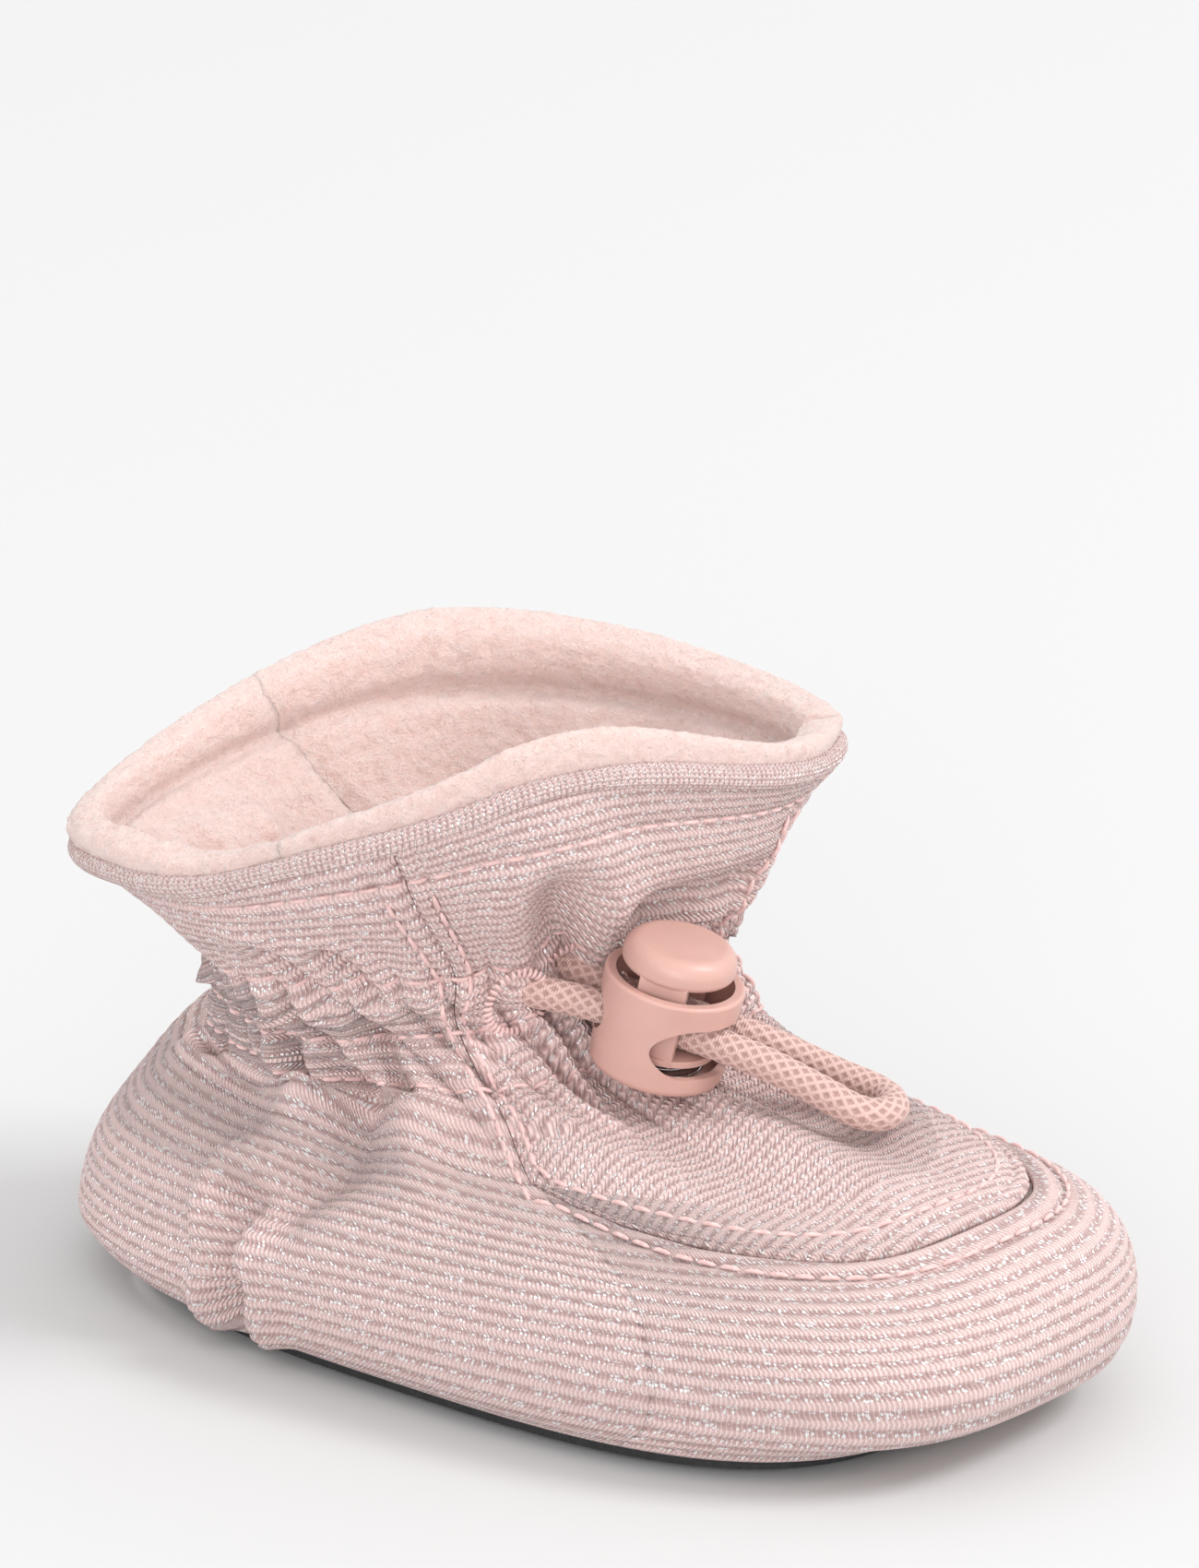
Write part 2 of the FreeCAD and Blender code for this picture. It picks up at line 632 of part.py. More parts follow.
def seam_side_line(offset_row, offset_angle):
    """Line beside the panel seam, from the near rim round the toe to the far rim."""
    def place(u):
        if u < 0.3:
            row = SEAM_LINE_TOP - (SEAM_LINE_TOP - TOE_CORNER_ROW) * u / 0.3
            return -(seam_angle(row) + offset_angle), row + offset_row * u / 0.3
        if u > 0.7:
            row = SEAM_LINE_TOP - (SEAM_LINE_TOP - TOE_CORNER_ROW) * (1 - u) / 0.3
            return seam_angle(row) + offset_angle, row + offset_row * (1 - u) / 0.3
        angle = (TOE_CORNER + offset_angle) * (u - 0.5) / 0.2
        bounded = max(-TOE_CORNER, min(TOE_CORNER, angle))
        return angle, seam_row(bounded) + offset_row
    return place


def round_the_shaft(row):
    return lambda u: (STITCH_END * (2 * u - 1), row)


def beside_heel_seam(side):
    """Line at a fixed distance from the heel seam, from the sole to the rim stitching."""
    def place(u):
        row = HEEL_STITCH_ROWS[0] + (HEEL_STITCH_ROWS[1] - HEEL_STITCH_ROWS[0]) * u
        return beside_heel(row, HEEL_STITCH_OFF, side), row
    return place


def build_stitching():
    """Seam rows first; the rows round the shaft leave out a stitch where they cross one."""
    rows = [("vamp_stitch_inner", seam_side_line(SEAM_STITCH_ROWS, -SEAM_STITCH_TURN), 600),
            ("vamp_stitch_outer", seam_side_line(-SEAM_STITCH_ROWS, SEAM_STITCH_TURN), 600),
            ("heel_stitch_near", beside_heel_seam(-1), 300),
            ("heel_stitch_far", beside_heel_seam(1), 300),
            ("rim_topstitch", round_the_shaft(RIM_STITCH_ROW), 600)]
    rows += [(name, round_the_shaft(row), 600) for name, row in CASING_STITCHES]
    sewn = []
    for name, place, steps in rows:
        sewn += stitch_row(name, place, steps, sewn)


build_outer()
build_binding()
build_lining()
build_elastic()
build_sole()
build_cord()
build_buttonholes()
build_lock()
build_spring()
build_stitching()
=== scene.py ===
import math

import bmesh
import bpy
import numpy as np
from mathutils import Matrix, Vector


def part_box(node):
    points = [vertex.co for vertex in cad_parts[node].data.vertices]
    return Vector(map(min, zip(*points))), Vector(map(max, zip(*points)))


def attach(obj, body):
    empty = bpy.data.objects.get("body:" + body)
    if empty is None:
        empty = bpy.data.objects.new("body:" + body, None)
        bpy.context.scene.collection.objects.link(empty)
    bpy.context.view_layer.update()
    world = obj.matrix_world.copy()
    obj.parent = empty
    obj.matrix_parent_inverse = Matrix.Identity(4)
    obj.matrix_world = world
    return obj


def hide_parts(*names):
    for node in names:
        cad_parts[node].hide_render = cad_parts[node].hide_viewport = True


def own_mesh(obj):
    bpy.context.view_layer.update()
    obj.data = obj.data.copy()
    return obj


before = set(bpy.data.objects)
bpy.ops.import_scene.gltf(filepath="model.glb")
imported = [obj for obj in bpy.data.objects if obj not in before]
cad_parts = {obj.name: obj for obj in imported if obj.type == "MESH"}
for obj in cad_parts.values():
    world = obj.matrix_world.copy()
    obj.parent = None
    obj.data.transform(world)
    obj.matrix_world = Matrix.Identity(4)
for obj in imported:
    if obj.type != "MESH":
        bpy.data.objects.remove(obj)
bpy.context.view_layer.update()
MM = 0.001

# ---------------------------------------------------------------- shape of the bootie, millimetres
# Sections from the sole edge (row 0) to the rim (row 10), as in the CAD: centre x, centre y,
# half length, half width, turn, squareness, taper, skew, twist, height, rise along x, rise
# along y, saddle, cross saddle, dent behind the cord lock.
SECTIONS = np.array([
    (-2.0, 0.0, 47.5, 29.0, 0, 0.66, 0.02, 1, 0, 2.0, 0.00, 0.00, 0.0, 0, 0.0),
    (-1.5, 0.0, 56.0, 30.5, 0, 0.70, 0.02, 2, 0, 5.0, 0.01, 0.00, 0.0, 0, 0.0),
    (-0.5, 0.0, 58.5, 31.5, 0, 0.74, 0.02, 2, 0, 10.0, 0.05, 0.00, 0.0, 0, 0.0),
    (-2.0, 0.0, 56.5, 30.0, 0, 0.78, 0.02, 2, 0, 16.5, 0.05, 0.00, 0.0, 0, 0.0),
    (-5.5, 0.0, 49.0, 26.5, 0, 0.84, 0.02, 1, 0, 21.5, 0.03, 0.00, 0.0, 0, 0.0),
    (-10.5, 0.0, 38.0, 23.0, 5, 0.92, 0.00, 0, 0, 25.5, 0.01, 0.00, 0.0, 0, 0.0),
    (-13.0, 0.0, 30.0, 19.5, 20, 1.00, 0.00, 0, 0, 28.0, 0.03, 0.00, 0.0, 0, 12.0),
    (-17.0, 0.0, 24.5, 18.0, 41, 1.00, 0.00, 0, -5, 35.0, 0.08, 0.00, 0.0, 0, 6.5),
    (-17.0, 0.0, 28.0, 20.0, 45, 1.00, 0.00, 0, -10, 41.0, 0.06, 0.02, 0.0, 0, 4.5),
    (-18.0, 0.0, 33.5, 24.0, 48, 1.04, 0.00, 0, -13, 48.0, 0.04, 0.07, -0.5, 0, 1.5),
    (-19.0, 0.5, 40.0, 29.5, 48, 1.18, 0.00, 0, -16, 56.0, 0.05, 0.10, -3.5, 0, 0.0),
])
DENT_WIDTH = 36.0
OUTER_THICK = 0.8
LINING_GAP = 0.15
LINING_THICK = 2.6
CASING_STAND_OFF = 4.8
CASING_SPREAD = 0.7
CORD_ROW = 7.3
CORD_DEPTH = 2.85
CORD_R = 1.8
PLAIT_LENGTH = 1.5
LINING_SEAM = 61.9          # degrees; the side panels lap the front one by LINING_LAP
LINING_LAP = 0.1
HEEL_GAP = 0.06
SEAM_GAP = 0.02
SEAM_TURN = 0.12
SEAM_TOE_ROW = 3.75
SEAM_TOE_LEAN = -0.003
SEAM_TOE_SHARPNESS = 6
SEAM_SHAFT = [(4.7, 65), (6.1, 55), (7.6, 41), (10.0, 45)]
TOE_CORNER = 65.0
TOE_CORNER_ROW = 4.7
TOE_EDGE = 55.0
SIDE_SHARE = 0.25
CLOTH_TOP = 9.8
RIM_RISE = 5.5             # mm that the soft rim stands above the CAD's in front
RIM_DIP = 1.6
RIM_STITCH_ROW = 9.45
SEAM_LINE_TOP = 9.3
CASING_ROWS = {"casing_stitch_upper": 7.85, "casing_stitch_middle": 6.75,
               "casing_stitch_lower": 6.15}


def bell(x, width):
    return np.exp(-(x / width)**2)


def wrap_angle(angle):
    """Angle brought into -180 to 180 degrees."""
    return (np.asarray(angle, float) + 180.0) % 360.0 - 180.0


def section_at(row):
    """Section values at an array of rows, one array per value."""
    row = np.asarray(row, float)
    n = len(SECTIONS)
    padded = np.vstack([2 * SECTIONS[0] - SECTIONS[1], SECTIONS, 2 * SECTIONS[-1] - SECTIONS[-2]])
    k = np.clip(np.floor(row), 0, n - 2).astype(int)
    f = (row - k)[..., None]
    weights = (-0.5 * f**3 + f**2 - 0.5 * f, 1.5 * f**3 - 2.5 * f**2 + 1,
               -1.5 * f**3 + 2 * f**2 + 0.5 * f, 0.5 * f**3 - 0.5 * f**2)
    values = sum(w * padded[k + i] for i, w in enumerate(weights))
    return np.moveaxis(values, -1, 0)


def rise_of_rim(angle, row):
    """The soft rim stands up in front and dips beside the near seam."""
    share = np.clip((row - 7.9) / 2.1, 0, 1.15)
    in_front = RIM_RISE * bell(wrap_angle(angle) + 8, 32)
    beside_seam_dip = RIM_DIP * bell(wrap_angle(angle) + 78, 15)
    return share * share * (in_front - beside_seam_dip)


def oval(row, angle, inset_h=0.0, inset_z=0.0):
    """Point at a row and an angle in degrees, moved in and down by the insets."""
    (xc, yc, half_x, half_y, turn, square, taper, skew, twist, z0, zx, zy, saddle, cross,
     dent) = section_at(row)
    psi = np.radians(turn)
    t = np.radians(angle + twist) - psi
    cr, sr = np.cos(t), np.sin(t)
    c = np.sign(cr) * np.abs(cr)**square
    s = np.sign(sr) * np.abs(sr)**square
    p = (half_x - inset_h) * c
    q = (half_y - inset_h) * s * (1 + taper * c) + skew * c
    x = p * np.cos(psi) - q * np.sin(psi)
    y = p * np.sin(psi) + q * np.cos(psi)
    z = z0 + zx * x + zy * y + saddle * (cr * cr - sr * sr) + cross * 2 * cr * sr
    x = x - dent * bell(wrap_angle(angle), DENT_WIDTH)
    z = z + rise_of_rim(angle, row)
    return np.stack([xc + x, yc + y, z - inset_z], -1)


def normal_at(angle, row):
    middle = np.clip(row, 0.05, 9.95)
    low, high = middle - 0.05, middle + 0.05
    round_way = oval(middle, angle + 1) - oval(middle, angle - 1)
    n = np.cross(round_way, oval(high, angle) - oval(low, angle))
    return n / np.linalg.norm(n, axis=-1, keepdims=True)


def skin(angle, row, depth=0.0):
    """Point at a depth below the smooth outer face."""
    angle, row = np.broadcast_arrays(np.asarray(angle, float), np.asarray(row, float))
    n = normal_at(angle, row)
    return oval(row, angle, depth * np.hypot(n[..., 0], n[..., 1]), depth * n[..., 2])


def seam_row(angle):
    share = (np.abs(angle) / TOE_CORNER)**SEAM_TOE_SHARPNESS
    return (1 - share) * (SEAM_TOE_ROW + SEAM_TOE_LEAN * angle) + share * TOE_CORNER_ROW


def seam_angle(row):
    """Smooth curve through the points of the shaft seam."""
    rows = np.array([r for r, _ in SEAM_SHAFT])
    angles = np.array([a for _, a in SEAM_SHAFT], float)
    row = np.asarray(row, float)
    k = np.clip(np.searchsorted(rows, row, side="left") - 1, 0, len(rows) - 2)
    slope = np.gradient(angles, rows)
    span = rows[k + 1] - rows[k]
    f = np.clip((row - rows[k]) / span, 0, 1)
    return ((2 * f**3 - 3 * f**2 + 1) * angles[k] + (f**3 - 2 * f**2 + f) * slope[k] * span
            + (3 * f**2 - 2 * f**3) * angles[k + 1] + (f**3 - f**2) * slope[k + 1] * span)


def heel_turn(row, distance):
    """Degrees round from the middle of the heel that lie a distance along the skin."""
    row = np.asarray(row, float)
    close, far = np.zeros_like(row), np.full_like(row, 20.0)
    heel = oval(row, np.full_like(row, 180.0))
    for _ in range(24):
        middle = (close + far) / 2
        short = np.linalg.norm(oval(row, 180.0 - middle) - heel, axis=-1) < distance
        close, far = np.where(short, middle, close), np.where(short, far, middle)
    return close


# ---------------------------------------------------------------- folds and gathers
MM_PER_ROW = 7.0
# Creases: angle and row of each end, depth and half width in mm.
CREASES = [(-15, 8.8, -11, 7.5, 2.3, 2.2), (-87, 6.9, -96, 6.1, 2.4, 1.3),
           (-68, 6.8, -74, 6.2, 2.4, 1.1), (-84, 6.1, -101, 3.3, 3.4, 2.9),
           (-29, 6.5, -34, 5.9, 1.8, 1.0), (-106, 3.3, -104, 0.6, 3.0, 2.2),
           (4, 8.4, 31, 8.5, 1.6, 1.8), (-128, 6.9, -133, 5.4, 1.8, 1.6),
           (-77, 8.5, -72, 7.6, 1.5, 1.2), (-64, 8.4, -60, 7.6, 1.3, 1.0),
           (150, 6.9, 146, 5.4, 1.8, 1.6), (95, 6.9, 99, 5.2, 1.7, 1.5),
           (120, 3.2, 122, 1.0, 1.3, 3.0), (-160, 9.0, -157, 7.7, 1.4, 1.8),
           (60, 8.8, 66, 7.6, 1.4, 1.6), (-140, 8.8, -133, 7.7, 1.3, 1.5)]


def crease(angle, row, ends):
    """Valley along a short line on the cloth, with a soft lip each side."""
    a0, r0, a1, r1, depth, width = ends
    mm_per_degree = 0.45 + 0.035 * max(0.0, 7 - (r0 + r1) / 2) * 4
    x = (angle - a0) * mm_per_degree
    y = (row - r0) * MM_PER_ROW
    ax, ay = (a1 - a0) * mm_per_degree, (r1 - r0) * MM_PER_ROW
    along = np.clip((x * ax + y * ay) / (ax * ax + ay * ay), 0, 1)
    away = np.hypot(x - along * ax, y - along * ay)
    return depth * (0.45 * bell(away - 2.0 * width, width) - bell(away, width))


def pleat(phase):
    """Broad round tops with narrow valleys between them."""
    return np.abs(np.sin(phase))**0.55 - 0.36


def gathers(angle, row):
    """Uneven pleats drawn up by the cord and, below it, by the elastic."""
    a = np.radians(angle)
    wander = 0.9 * np.sin(3 * a + 0.6) + 0.5 * np.sin(7 * a) + 0.35 * np.sin(2.2 * row + 2 * a)
    uneven = 0.75 + 0.25 * np.cos(5 * a + 1.0)
    wide = pleat(16 * a + wander) * uneven
    fine = pleat(27 * a - wander + 0.9 * row) * (0.7 + 0.3 * np.cos(4 * a - 0.6))
    at_cord = bell(row - 7.25, 0.75)
    below = bell(row - 6.35, 0.75)
    fan = bell(row - 5.2, 1.0) * 0.9 * np.cos(8 * a + 0.5 * wander + 0.4)
    above = bell(row - 8.3, 0.6) * 0.7 * np.cos(8 * a + wander)
    return 3.1 * at_cord * wide + below * (2.3 * wide + 0.4 * fine) + 1.5 * fan + above


def stitch_lines(angle, row):
    """How far the cloth is pulled in along the rows of stitching."""
    pull = 0.45 * bell(row - RIM_STITCH_ROW, 0.07)
    for level in CASING_ROWS.values():
        pull = pull + 0.5 * bell(row - level, 0.09)
    return pull


def relief(angle, row):
    """Height of the cloth over the smooth skin, millimetres."""
    a = np.radians(angle)
    soft = 0.6 * np.sin(3 * a + 1.1 * row) * np.sin(1.3 * row + 0.4)
    soft = soft + 0.18 * np.sin(8 * a - 1.7 * row + 0.5) * bell(row - 4.0, 3.0)
    cord_bulge = 0.9 * bell(row - CORD_ROW, 0.42)
    height = soft + cord_bulge + gathers(angle, row) - stitch_lines(angle, row)
    for ends in CREASES:
        height = height + crease(angle, row, ends)
    low_edge = np.clip(row / 0.5, 0, 1)
    return height * low_edge * low_edge * (3 - 2 * low_edge)


RIB_PITCH = 1.3
RIB_HIGH = 0.12


def rib(phase):
    """Round-topped rib with a narrow groove."""
    return RIB_HIGH * (2 * np.abs(np.sin(np.pi * phase))**0.6 - 1)


def seam_tuck(distance_mm):
    """Dip where a panel's edge turns in to the seam, and the pull of the topstitching."""
    return 0.6 * bell(distance_mm, 0.4) + 0.35 * bell(distance_mm - 2.1, 0.42)


def lining_depth(row):
    rim_step = 0.35 * np.clip((row - 9.1) / 0.4, 0, 1)
    stand_off = CASING_STAND_OFF * bell(row - CORD_ROW, CASING_SPREAD)
    return OUTER_THICK + LINING_GAP + rim_step + stand_off


# ---------------------------------------------------------------- mesh making
WELD_DISTANCE = 0.00002


def grid_faces(columns, rows, start=0, flip=False):
    i, j = np.meshgrid(np.arange(columns - 1), np.arange(rows - 1), indexing="ij")
    a = start + i * rows + j
    quads = np.stack([a, a + rows, a + rows + 1, a + 1], -1).reshape(-1, 4)
    return quads[:, ::-1] if flip else quads


def shell_parts(outer, inner, weave):
    """Vertices, faces and weave coordinates of a closed sheet between two grids."""
    columns, rows = outer.shape[:2]
    points = np.concatenate([outer.reshape(-1, 3), inner.reshape(-1, 3)])
    shift = columns * rows
    faces = [grid_faces(columns, rows), grid_faces(columns, rows, shift, True)]
    index = np.arange(shift).reshape(columns, rows)
    for line, flip in ((index[0], False), (index[-1], True), (index[:, 0], True),
                       (index[:, -1], False)):
        rim = np.stack([line[:-1], line[1:], line[1:] + shift, line[:-1] + shift], -1)
        faces.append(rim[:, ::-1] if flip else rim)
    flat = weave.reshape(-1, 2)
    return points, np.concatenate(faces), np.concatenate([flat, flat])


def make_object(name, points_mm, faces, weave=None):
    """Smooth-shaded object from points in mm and faces as an array or a list."""
    mesh = bpy.data.meshes.new(name)
    face_list = faces if isinstance(faces, list) else faces.tolist()
    mesh.from_pydata((points_mm * MM).tolist(), [], face_list)
    if weave is not None:
        layer = mesh.uv_layers.new(name="weave")
        loops = np.zeros(len(mesh.loops), int)
        mesh.loops.foreach_get("vertex_index", loops)
        layer.data.foreach_set("uv", np.asarray(weave, np.float32)[loops].ravel())
    mesh.update()
    mesh.shade_smooth()
    piece = bpy.data.objects.new(name, mesh)
    bpy.context.scene.collection.objects.link(piece)
    return piece


def weld(piece):
    """Closes the joins between a piece's patches and turns its faces outward."""
    work = bmesh.new()
    work.from_mesh(piece.data)
    bmesh.ops.remove_doubles(work, verts=work.verts, dist=WELD_DISTANCE)
    bmesh.ops.recalc_face_normals(work, faces=work.faces)
    work.to_mesh(piece.data)
    work.free()
    piece.data.shade_smooth()


def join_parts(parts):
    """One set of vertices, faces and weave from several."""
    points, faces, weave, shift = [], [], [], 0
    for p, f, w in parts:
        points.append(p)
        faces.append(f + shift)
        weave.append(w)
        shift += len(p)
    return np.concatenate(points), np.concatenate(faces), np.concatenate(weave)


def finish_piece(piece, body, material, slot, *nodes):
    piece.data.materials.append(material)
    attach(piece, body)
    if nodes:
        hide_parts(*nodes)
    return piece


def welded_piece(name, parts, body, material, slot, node_name):
    piece = make_object(name, *parts)
    weld(piece)
    return finish_piece(piece, body, material, slot, node_name)


# ---------------------------------------------------------------- materials
def shader(name, color, roughness, **extra):
    """Material with a Principled shader; returns it with its nodes, links and shader."""
    material = bpy.data.materials.new(name)
    material.use_nodes = True
    nodes, links = material.node_tree.nodes, material.node_tree.links
    main = nodes["Principled BSDF"]
    main.inputs["Base Color"].default_value = (*color, 1)
    main.inputs["Roughness"].default_value = roughness
    for socket, value in extra.items():
        main.inputs[socket.replace("_", " ")].default_value = value
    return material, nodes, links, main


def node(nodes, kind, **values):
    made = nodes.new(kind)
    for key, value in values.items():
        if hasattr(made, key):
            setattr(made, key, value)
        else:
            made.inputs[key.replace("_", " ")].default_value = value
    return made


def math_node(nodes, links, operation, first, second=None, third=None):
    made = node(nodes, "ShaderNodeMath", operation=operation)
    for socket, value in zip(made.inputs, (first, second, third)):
        if value is None:
            continue
        if isinstance(value, (int, float)):
            socket.default_value = value
        else:
            links.new(value, socket)
    return made.outputs[0]


def ramp(nodes, links, factor, stops):
    made = nodes.new("ShaderNodeValToRGB")
    elements = made.color_ramp.elements
    while len(elements) < len(stops):
        elements.new(0.5)
    for element, (place, color) in zip(elements, stops):
        element.position = place
        element.color = (*color, 1)
    links.new(factor, made.inputs["Fac"])
    return made.outputs["Color"]


def bump(nodes, links, height, distance, strength=1.0, under=None):
    made = node(nodes, "ShaderNodeBump", Strength=strength, Distance=distance)
    links.new(height, made.inputs["Height"])
    if under is not None:
        links.new(under, made.inputs["Normal"])
    return made.outputs["Normal"]


def object_noise(nodes, links, scale, detail=3.0, roughness=0.55):
    place = nodes.new("ShaderNodeTexCoord")
    made = node(nodes, "ShaderNodeTexNoise", Scale=scale, Detail=detail, Roughness=roughness)
    links.new(place.outputs["Object"], made.inputs["Vector"])
    return made.outputs["Fac"]


def weave_axes(nodes, links):
    """Distance along the rib and rib count, from the piece's weave coordinates."""
    made = node(nodes, "ShaderNodeUVMap", uv_map="weave")
    split = nodes.new("ShaderNodeSeparateXYZ")
    links.new(made.outputs["UV"], split.inputs[0])
    return split.outputs["X"], split.outputs["Y"]


def knit_material():
    """Ribbed jersey: plain pink ribs of V stitches, with silver yarn in the bands between, and
    painted shade in the gaps between the stitches.
    """
    material, nodes, links, main = shader("lurex_rib_jersey", (0.80, 0.55, 0.52), 0.75,
                                          Sheen_Weight=0.25, Sheen_Roughness=0.5)
    along, count = weave_axes(nodes, links)
    part = math_node(nodes, links, "FRACT", count)
    off_mid = math_node(nodes, links, "ABSOLUTE", math_node(nodes, links, "SUBTRACT", part, 0.5))
    groove = math_node(nodes, links, "MULTIPLY", off_mid, 2.0)
    slant = math_node(nodes, links, "MULTIPLY", off_mid, 1.1)
    stitch = math_node(nodes, links, "ADD", math_node(nodes, links, "MULTIPLY", along, 1.9), slant)
    loops = math_node(nodes, links, "SINE", math_node(nodes, links, "MULTIPLY", stitch, 6.2832))
    tone = ramp(nodes, links, groove, [(0.0, (0.94, 0.72, 0.69)), (0.40, (0.90, 0.68, 0.65)),
                                       (0.55, (0.70, 0.50, 0.48)), (1.0, (0.60, 0.41, 0.395))])
    # Painted shade: the colour is darkened in the gaps between the V stitches, where the stitch bump
    # is lowest.
    painted_gap_shade = ramp(nodes, links, math_node(nodes, links, "MULTIPLY_ADD", loops, 0.5, 0.5),
                [(0.0, (0.70, 0.62, 0.62)), (0.6, (1.0, 1.0, 1.0))])
    tone_with_gap_shade = node(nodes, "ShaderNodeMix", data_type="RGBA", blend_type="MULTIPLY")
    tone_with_gap_shade.inputs["Factor"].default_value = 0.8
    links.new(tone, tone_with_gap_shade.inputs["A"])
    links.new(painted_gap_shade, tone_with_gap_shade.inputs["B"])
    shade = node(nodes, "ShaderNodeMix", data_type="RGBA", blend_type="MULTIPLY")
    shade.inputs["Factor"].default_value = 0.3
    links.new(tone_with_gap_shade.outputs["Result"], shade.inputs["A"])
    links.new(ramp(nodes, links, object_noise(nodes, links, 700.0),
                   [(0.3, (0.80, 0.76, 0.76)), (0.7, (1.0, 1.0, 1.0))]), shade.inputs["B"])
    cells = nodes.new("ShaderNodeCombineXYZ")
    links.new(math_node(nodes, links, "MULTIPLY", along, 2.3), cells.inputs["X"])
    links.new(math_node(nodes, links, "MULTIPLY", count, 4.0), cells.inputs["Y"])
    specks = node(nodes, "ShaderNodeTexVoronoi", Scale=1.0, Randomness=0.7)
    links.new(cells.outputs[0], specks.inputs["Vector"])
    pick = nodes.new("ShaderNodeSeparateXYZ")
    links.new(specks.outputs["Color"], pick.inputs[0])
    close = math_node(nodes, links, "LESS_THAN", specks.outputs["Distance"], 0.42)
    chosen = math_node(nodes, links, "GREATER_THAN", pick.outputs["X"], 0.2)
    in_band = math_node(nodes, links, "GREATER_THAN", groove, 0.44)
    silver = math_node(nodes, links, "MULTIPLY", math_node(nodes, links, "MULTIPLY", close, chosen),
                       in_band)
    glint = node(nodes, "ShaderNodeMix", data_type="RGBA")
    links.new(silver, glint.inputs["Factor"])
    links.new(shade.outputs["Result"], glint.inputs["A"])
    glint.inputs["B"].default_value = (0.97, 0.95, 0.945, 1)
    links.new(glint.outputs["Result"], main.inputs["Base Color"])
    links.new(math_node(nodes, links, "MULTIPLY", silver, 0.3), main.inputs["Metallic"])
    links.new(math_node(nodes, links, "SUBTRACT", 0.75, math_node(nodes, links, "MULTIPLY",
              silver, 0.42)), main.inputs["Roughness"])
    fine = bump(nodes, links, object_noise(nodes, links, 2500.0, 2.0), 0.00010)
    links.new(bump(nodes, links, loops, 0.00014, 0.9, fine), main.inputs["Normal"])
    return material


def fleece_material():
    material, nodes, links, main = shader("brushed_fleece", (0.88, 0.64, 0.585), 0.95,
                                          Sheen_Weight=0.6, Sheen_Roughness=0.6,
                                          Subsurface_Weight=0.1, Subsurface_Scale=0.002)
    clumps = object_noise(nodes, links, 650.0, 6.0, 0.72)
    links.new(ramp(nodes, links, clumps, [(0.30, (0.78, 0.51, 0.455)), (0.42, (0.91, 0.65, 0.59)),
                                          (0.72, (0.96, 0.74, 0.69))]),
              main.inputs["Base Color"])
    fine = bump(nodes, links, object_noise(nodes, links, 3200.0, 3.0, 0.7), 0.00030)
    links.new(bump(nodes, links, clumps, 0.0009, 0.9, fine), main.inputs["Normal"])
    return material


def braid_material():
    """Plaited yarns, with painted shade where one yarn dips under the next."""
    material, nodes, links, main = shader("cord_braid_yarn", (0.72, 0.49, 0.45), 0.62,
                                          Sheen_Weight=0.3)
    along, turn = weave_axes(nodes, links)
    lay = math_node(nodes, links, "MULTIPLY", along, 6.2832 / PLAIT_LENGTH)
    around = math_node(nodes, links, "MULTIPLY", turn, 3.14159)
    one_way = math_node(nodes, links, "COSINE", math_node(nodes, links, "ADD", around, lay))
    other_way = math_node(nodes, links, "COSINE", math_node(nodes, links, "SUBTRACT", around, lay))
    over = math_node(nodes, links, "MAXIMUM", one_way, other_way)
    # Painted shade: the colour darkens towards where one yarn dips under the next.
    links.new(ramp(nodes, links, over, [(0.0, (0.44, 0.27, 0.235)), (0.4, (0.60, 0.385, 0.34)),
                                        (1.0, (0.70, 0.475, 0.43))]), main.inputs["Base Color"])
    yarn = math_node(nodes, links, "SINE", math_node(nodes, links, "MULTIPLY", along, 22.0))
    fine = bump(nodes, links, object_noise(nodes, links, 2800.0, 2.0), 0.0001)
    links.new(bump(nodes, links, yarn, 0.00006, 0.6, fine), main.inputs["Normal"])
    return material


def thread_material():
    material, nodes, links, main = shader("pink_thread", (0.72, 0.48, 0.46), 0.55,
                                          Sheen_Weight=0.3)
    tint = object_noise(nodes, links, 1500.0, 2.0)
    links.new(ramp(nodes, links, tint, [(0.3, (0.66, 0.42, 0.40)), (0.7, (0.80, 0.57, 0.55))]),
              main.inputs["Base Color"])
    links.new(bump(nodes, links, tint, 0.0001), main.inputs["Normal"])
    return material


def plastic_material():
    material, nodes, links, main = shader("satin_moulded_plastic", (0.58, 0.35, 0.305), 0.36,
                                          Subsurface_Weight=0.12, Subsurface_Scale=0.0015,
                                          Specular_IOR_Level=0.45)
    cloud = object_noise(nodes, links, 160.0, 3.0)
    links.new(ramp(nodes, links, cloud, [(0.3, (0.565, 0.34, 0.295)), (0.7, (0.61, 0.37, 0.32))]),
              main.inputs["Base Color"])
    worn = object_noise(nodes, links, 900.0, 4.0)
    links.new(math_node(nodes, links, "ADD", math_node(nodes, links, "MULTIPLY", worn, 0.16), 0.28),
              main.inputs["Roughness"])
    grain = object_noise(nodes, links, 3200.0, 2.0)
    links.new(bump(nodes, links, grain, 0.00002), main.inputs["Normal"])
    return material


def grained_material(name, dark, light, roughness, scale, height, metallic=0.0):
    """Plain stuff with a fine grain: rubber, felt, elastic, wire."""
    material, nodes, links, main = shader(name, light, roughness, Metallic=metallic)
    grain = object_noise(nodes, links, scale, 4.0, 0.6)
    links.new(ramp(nodes, links, grain, [(0.3, dark), (0.7, light)]), main.inputs["Base Color"])
    links.new(bump(nodes, links, grain, height), main.inputs["Normal"])
    return material


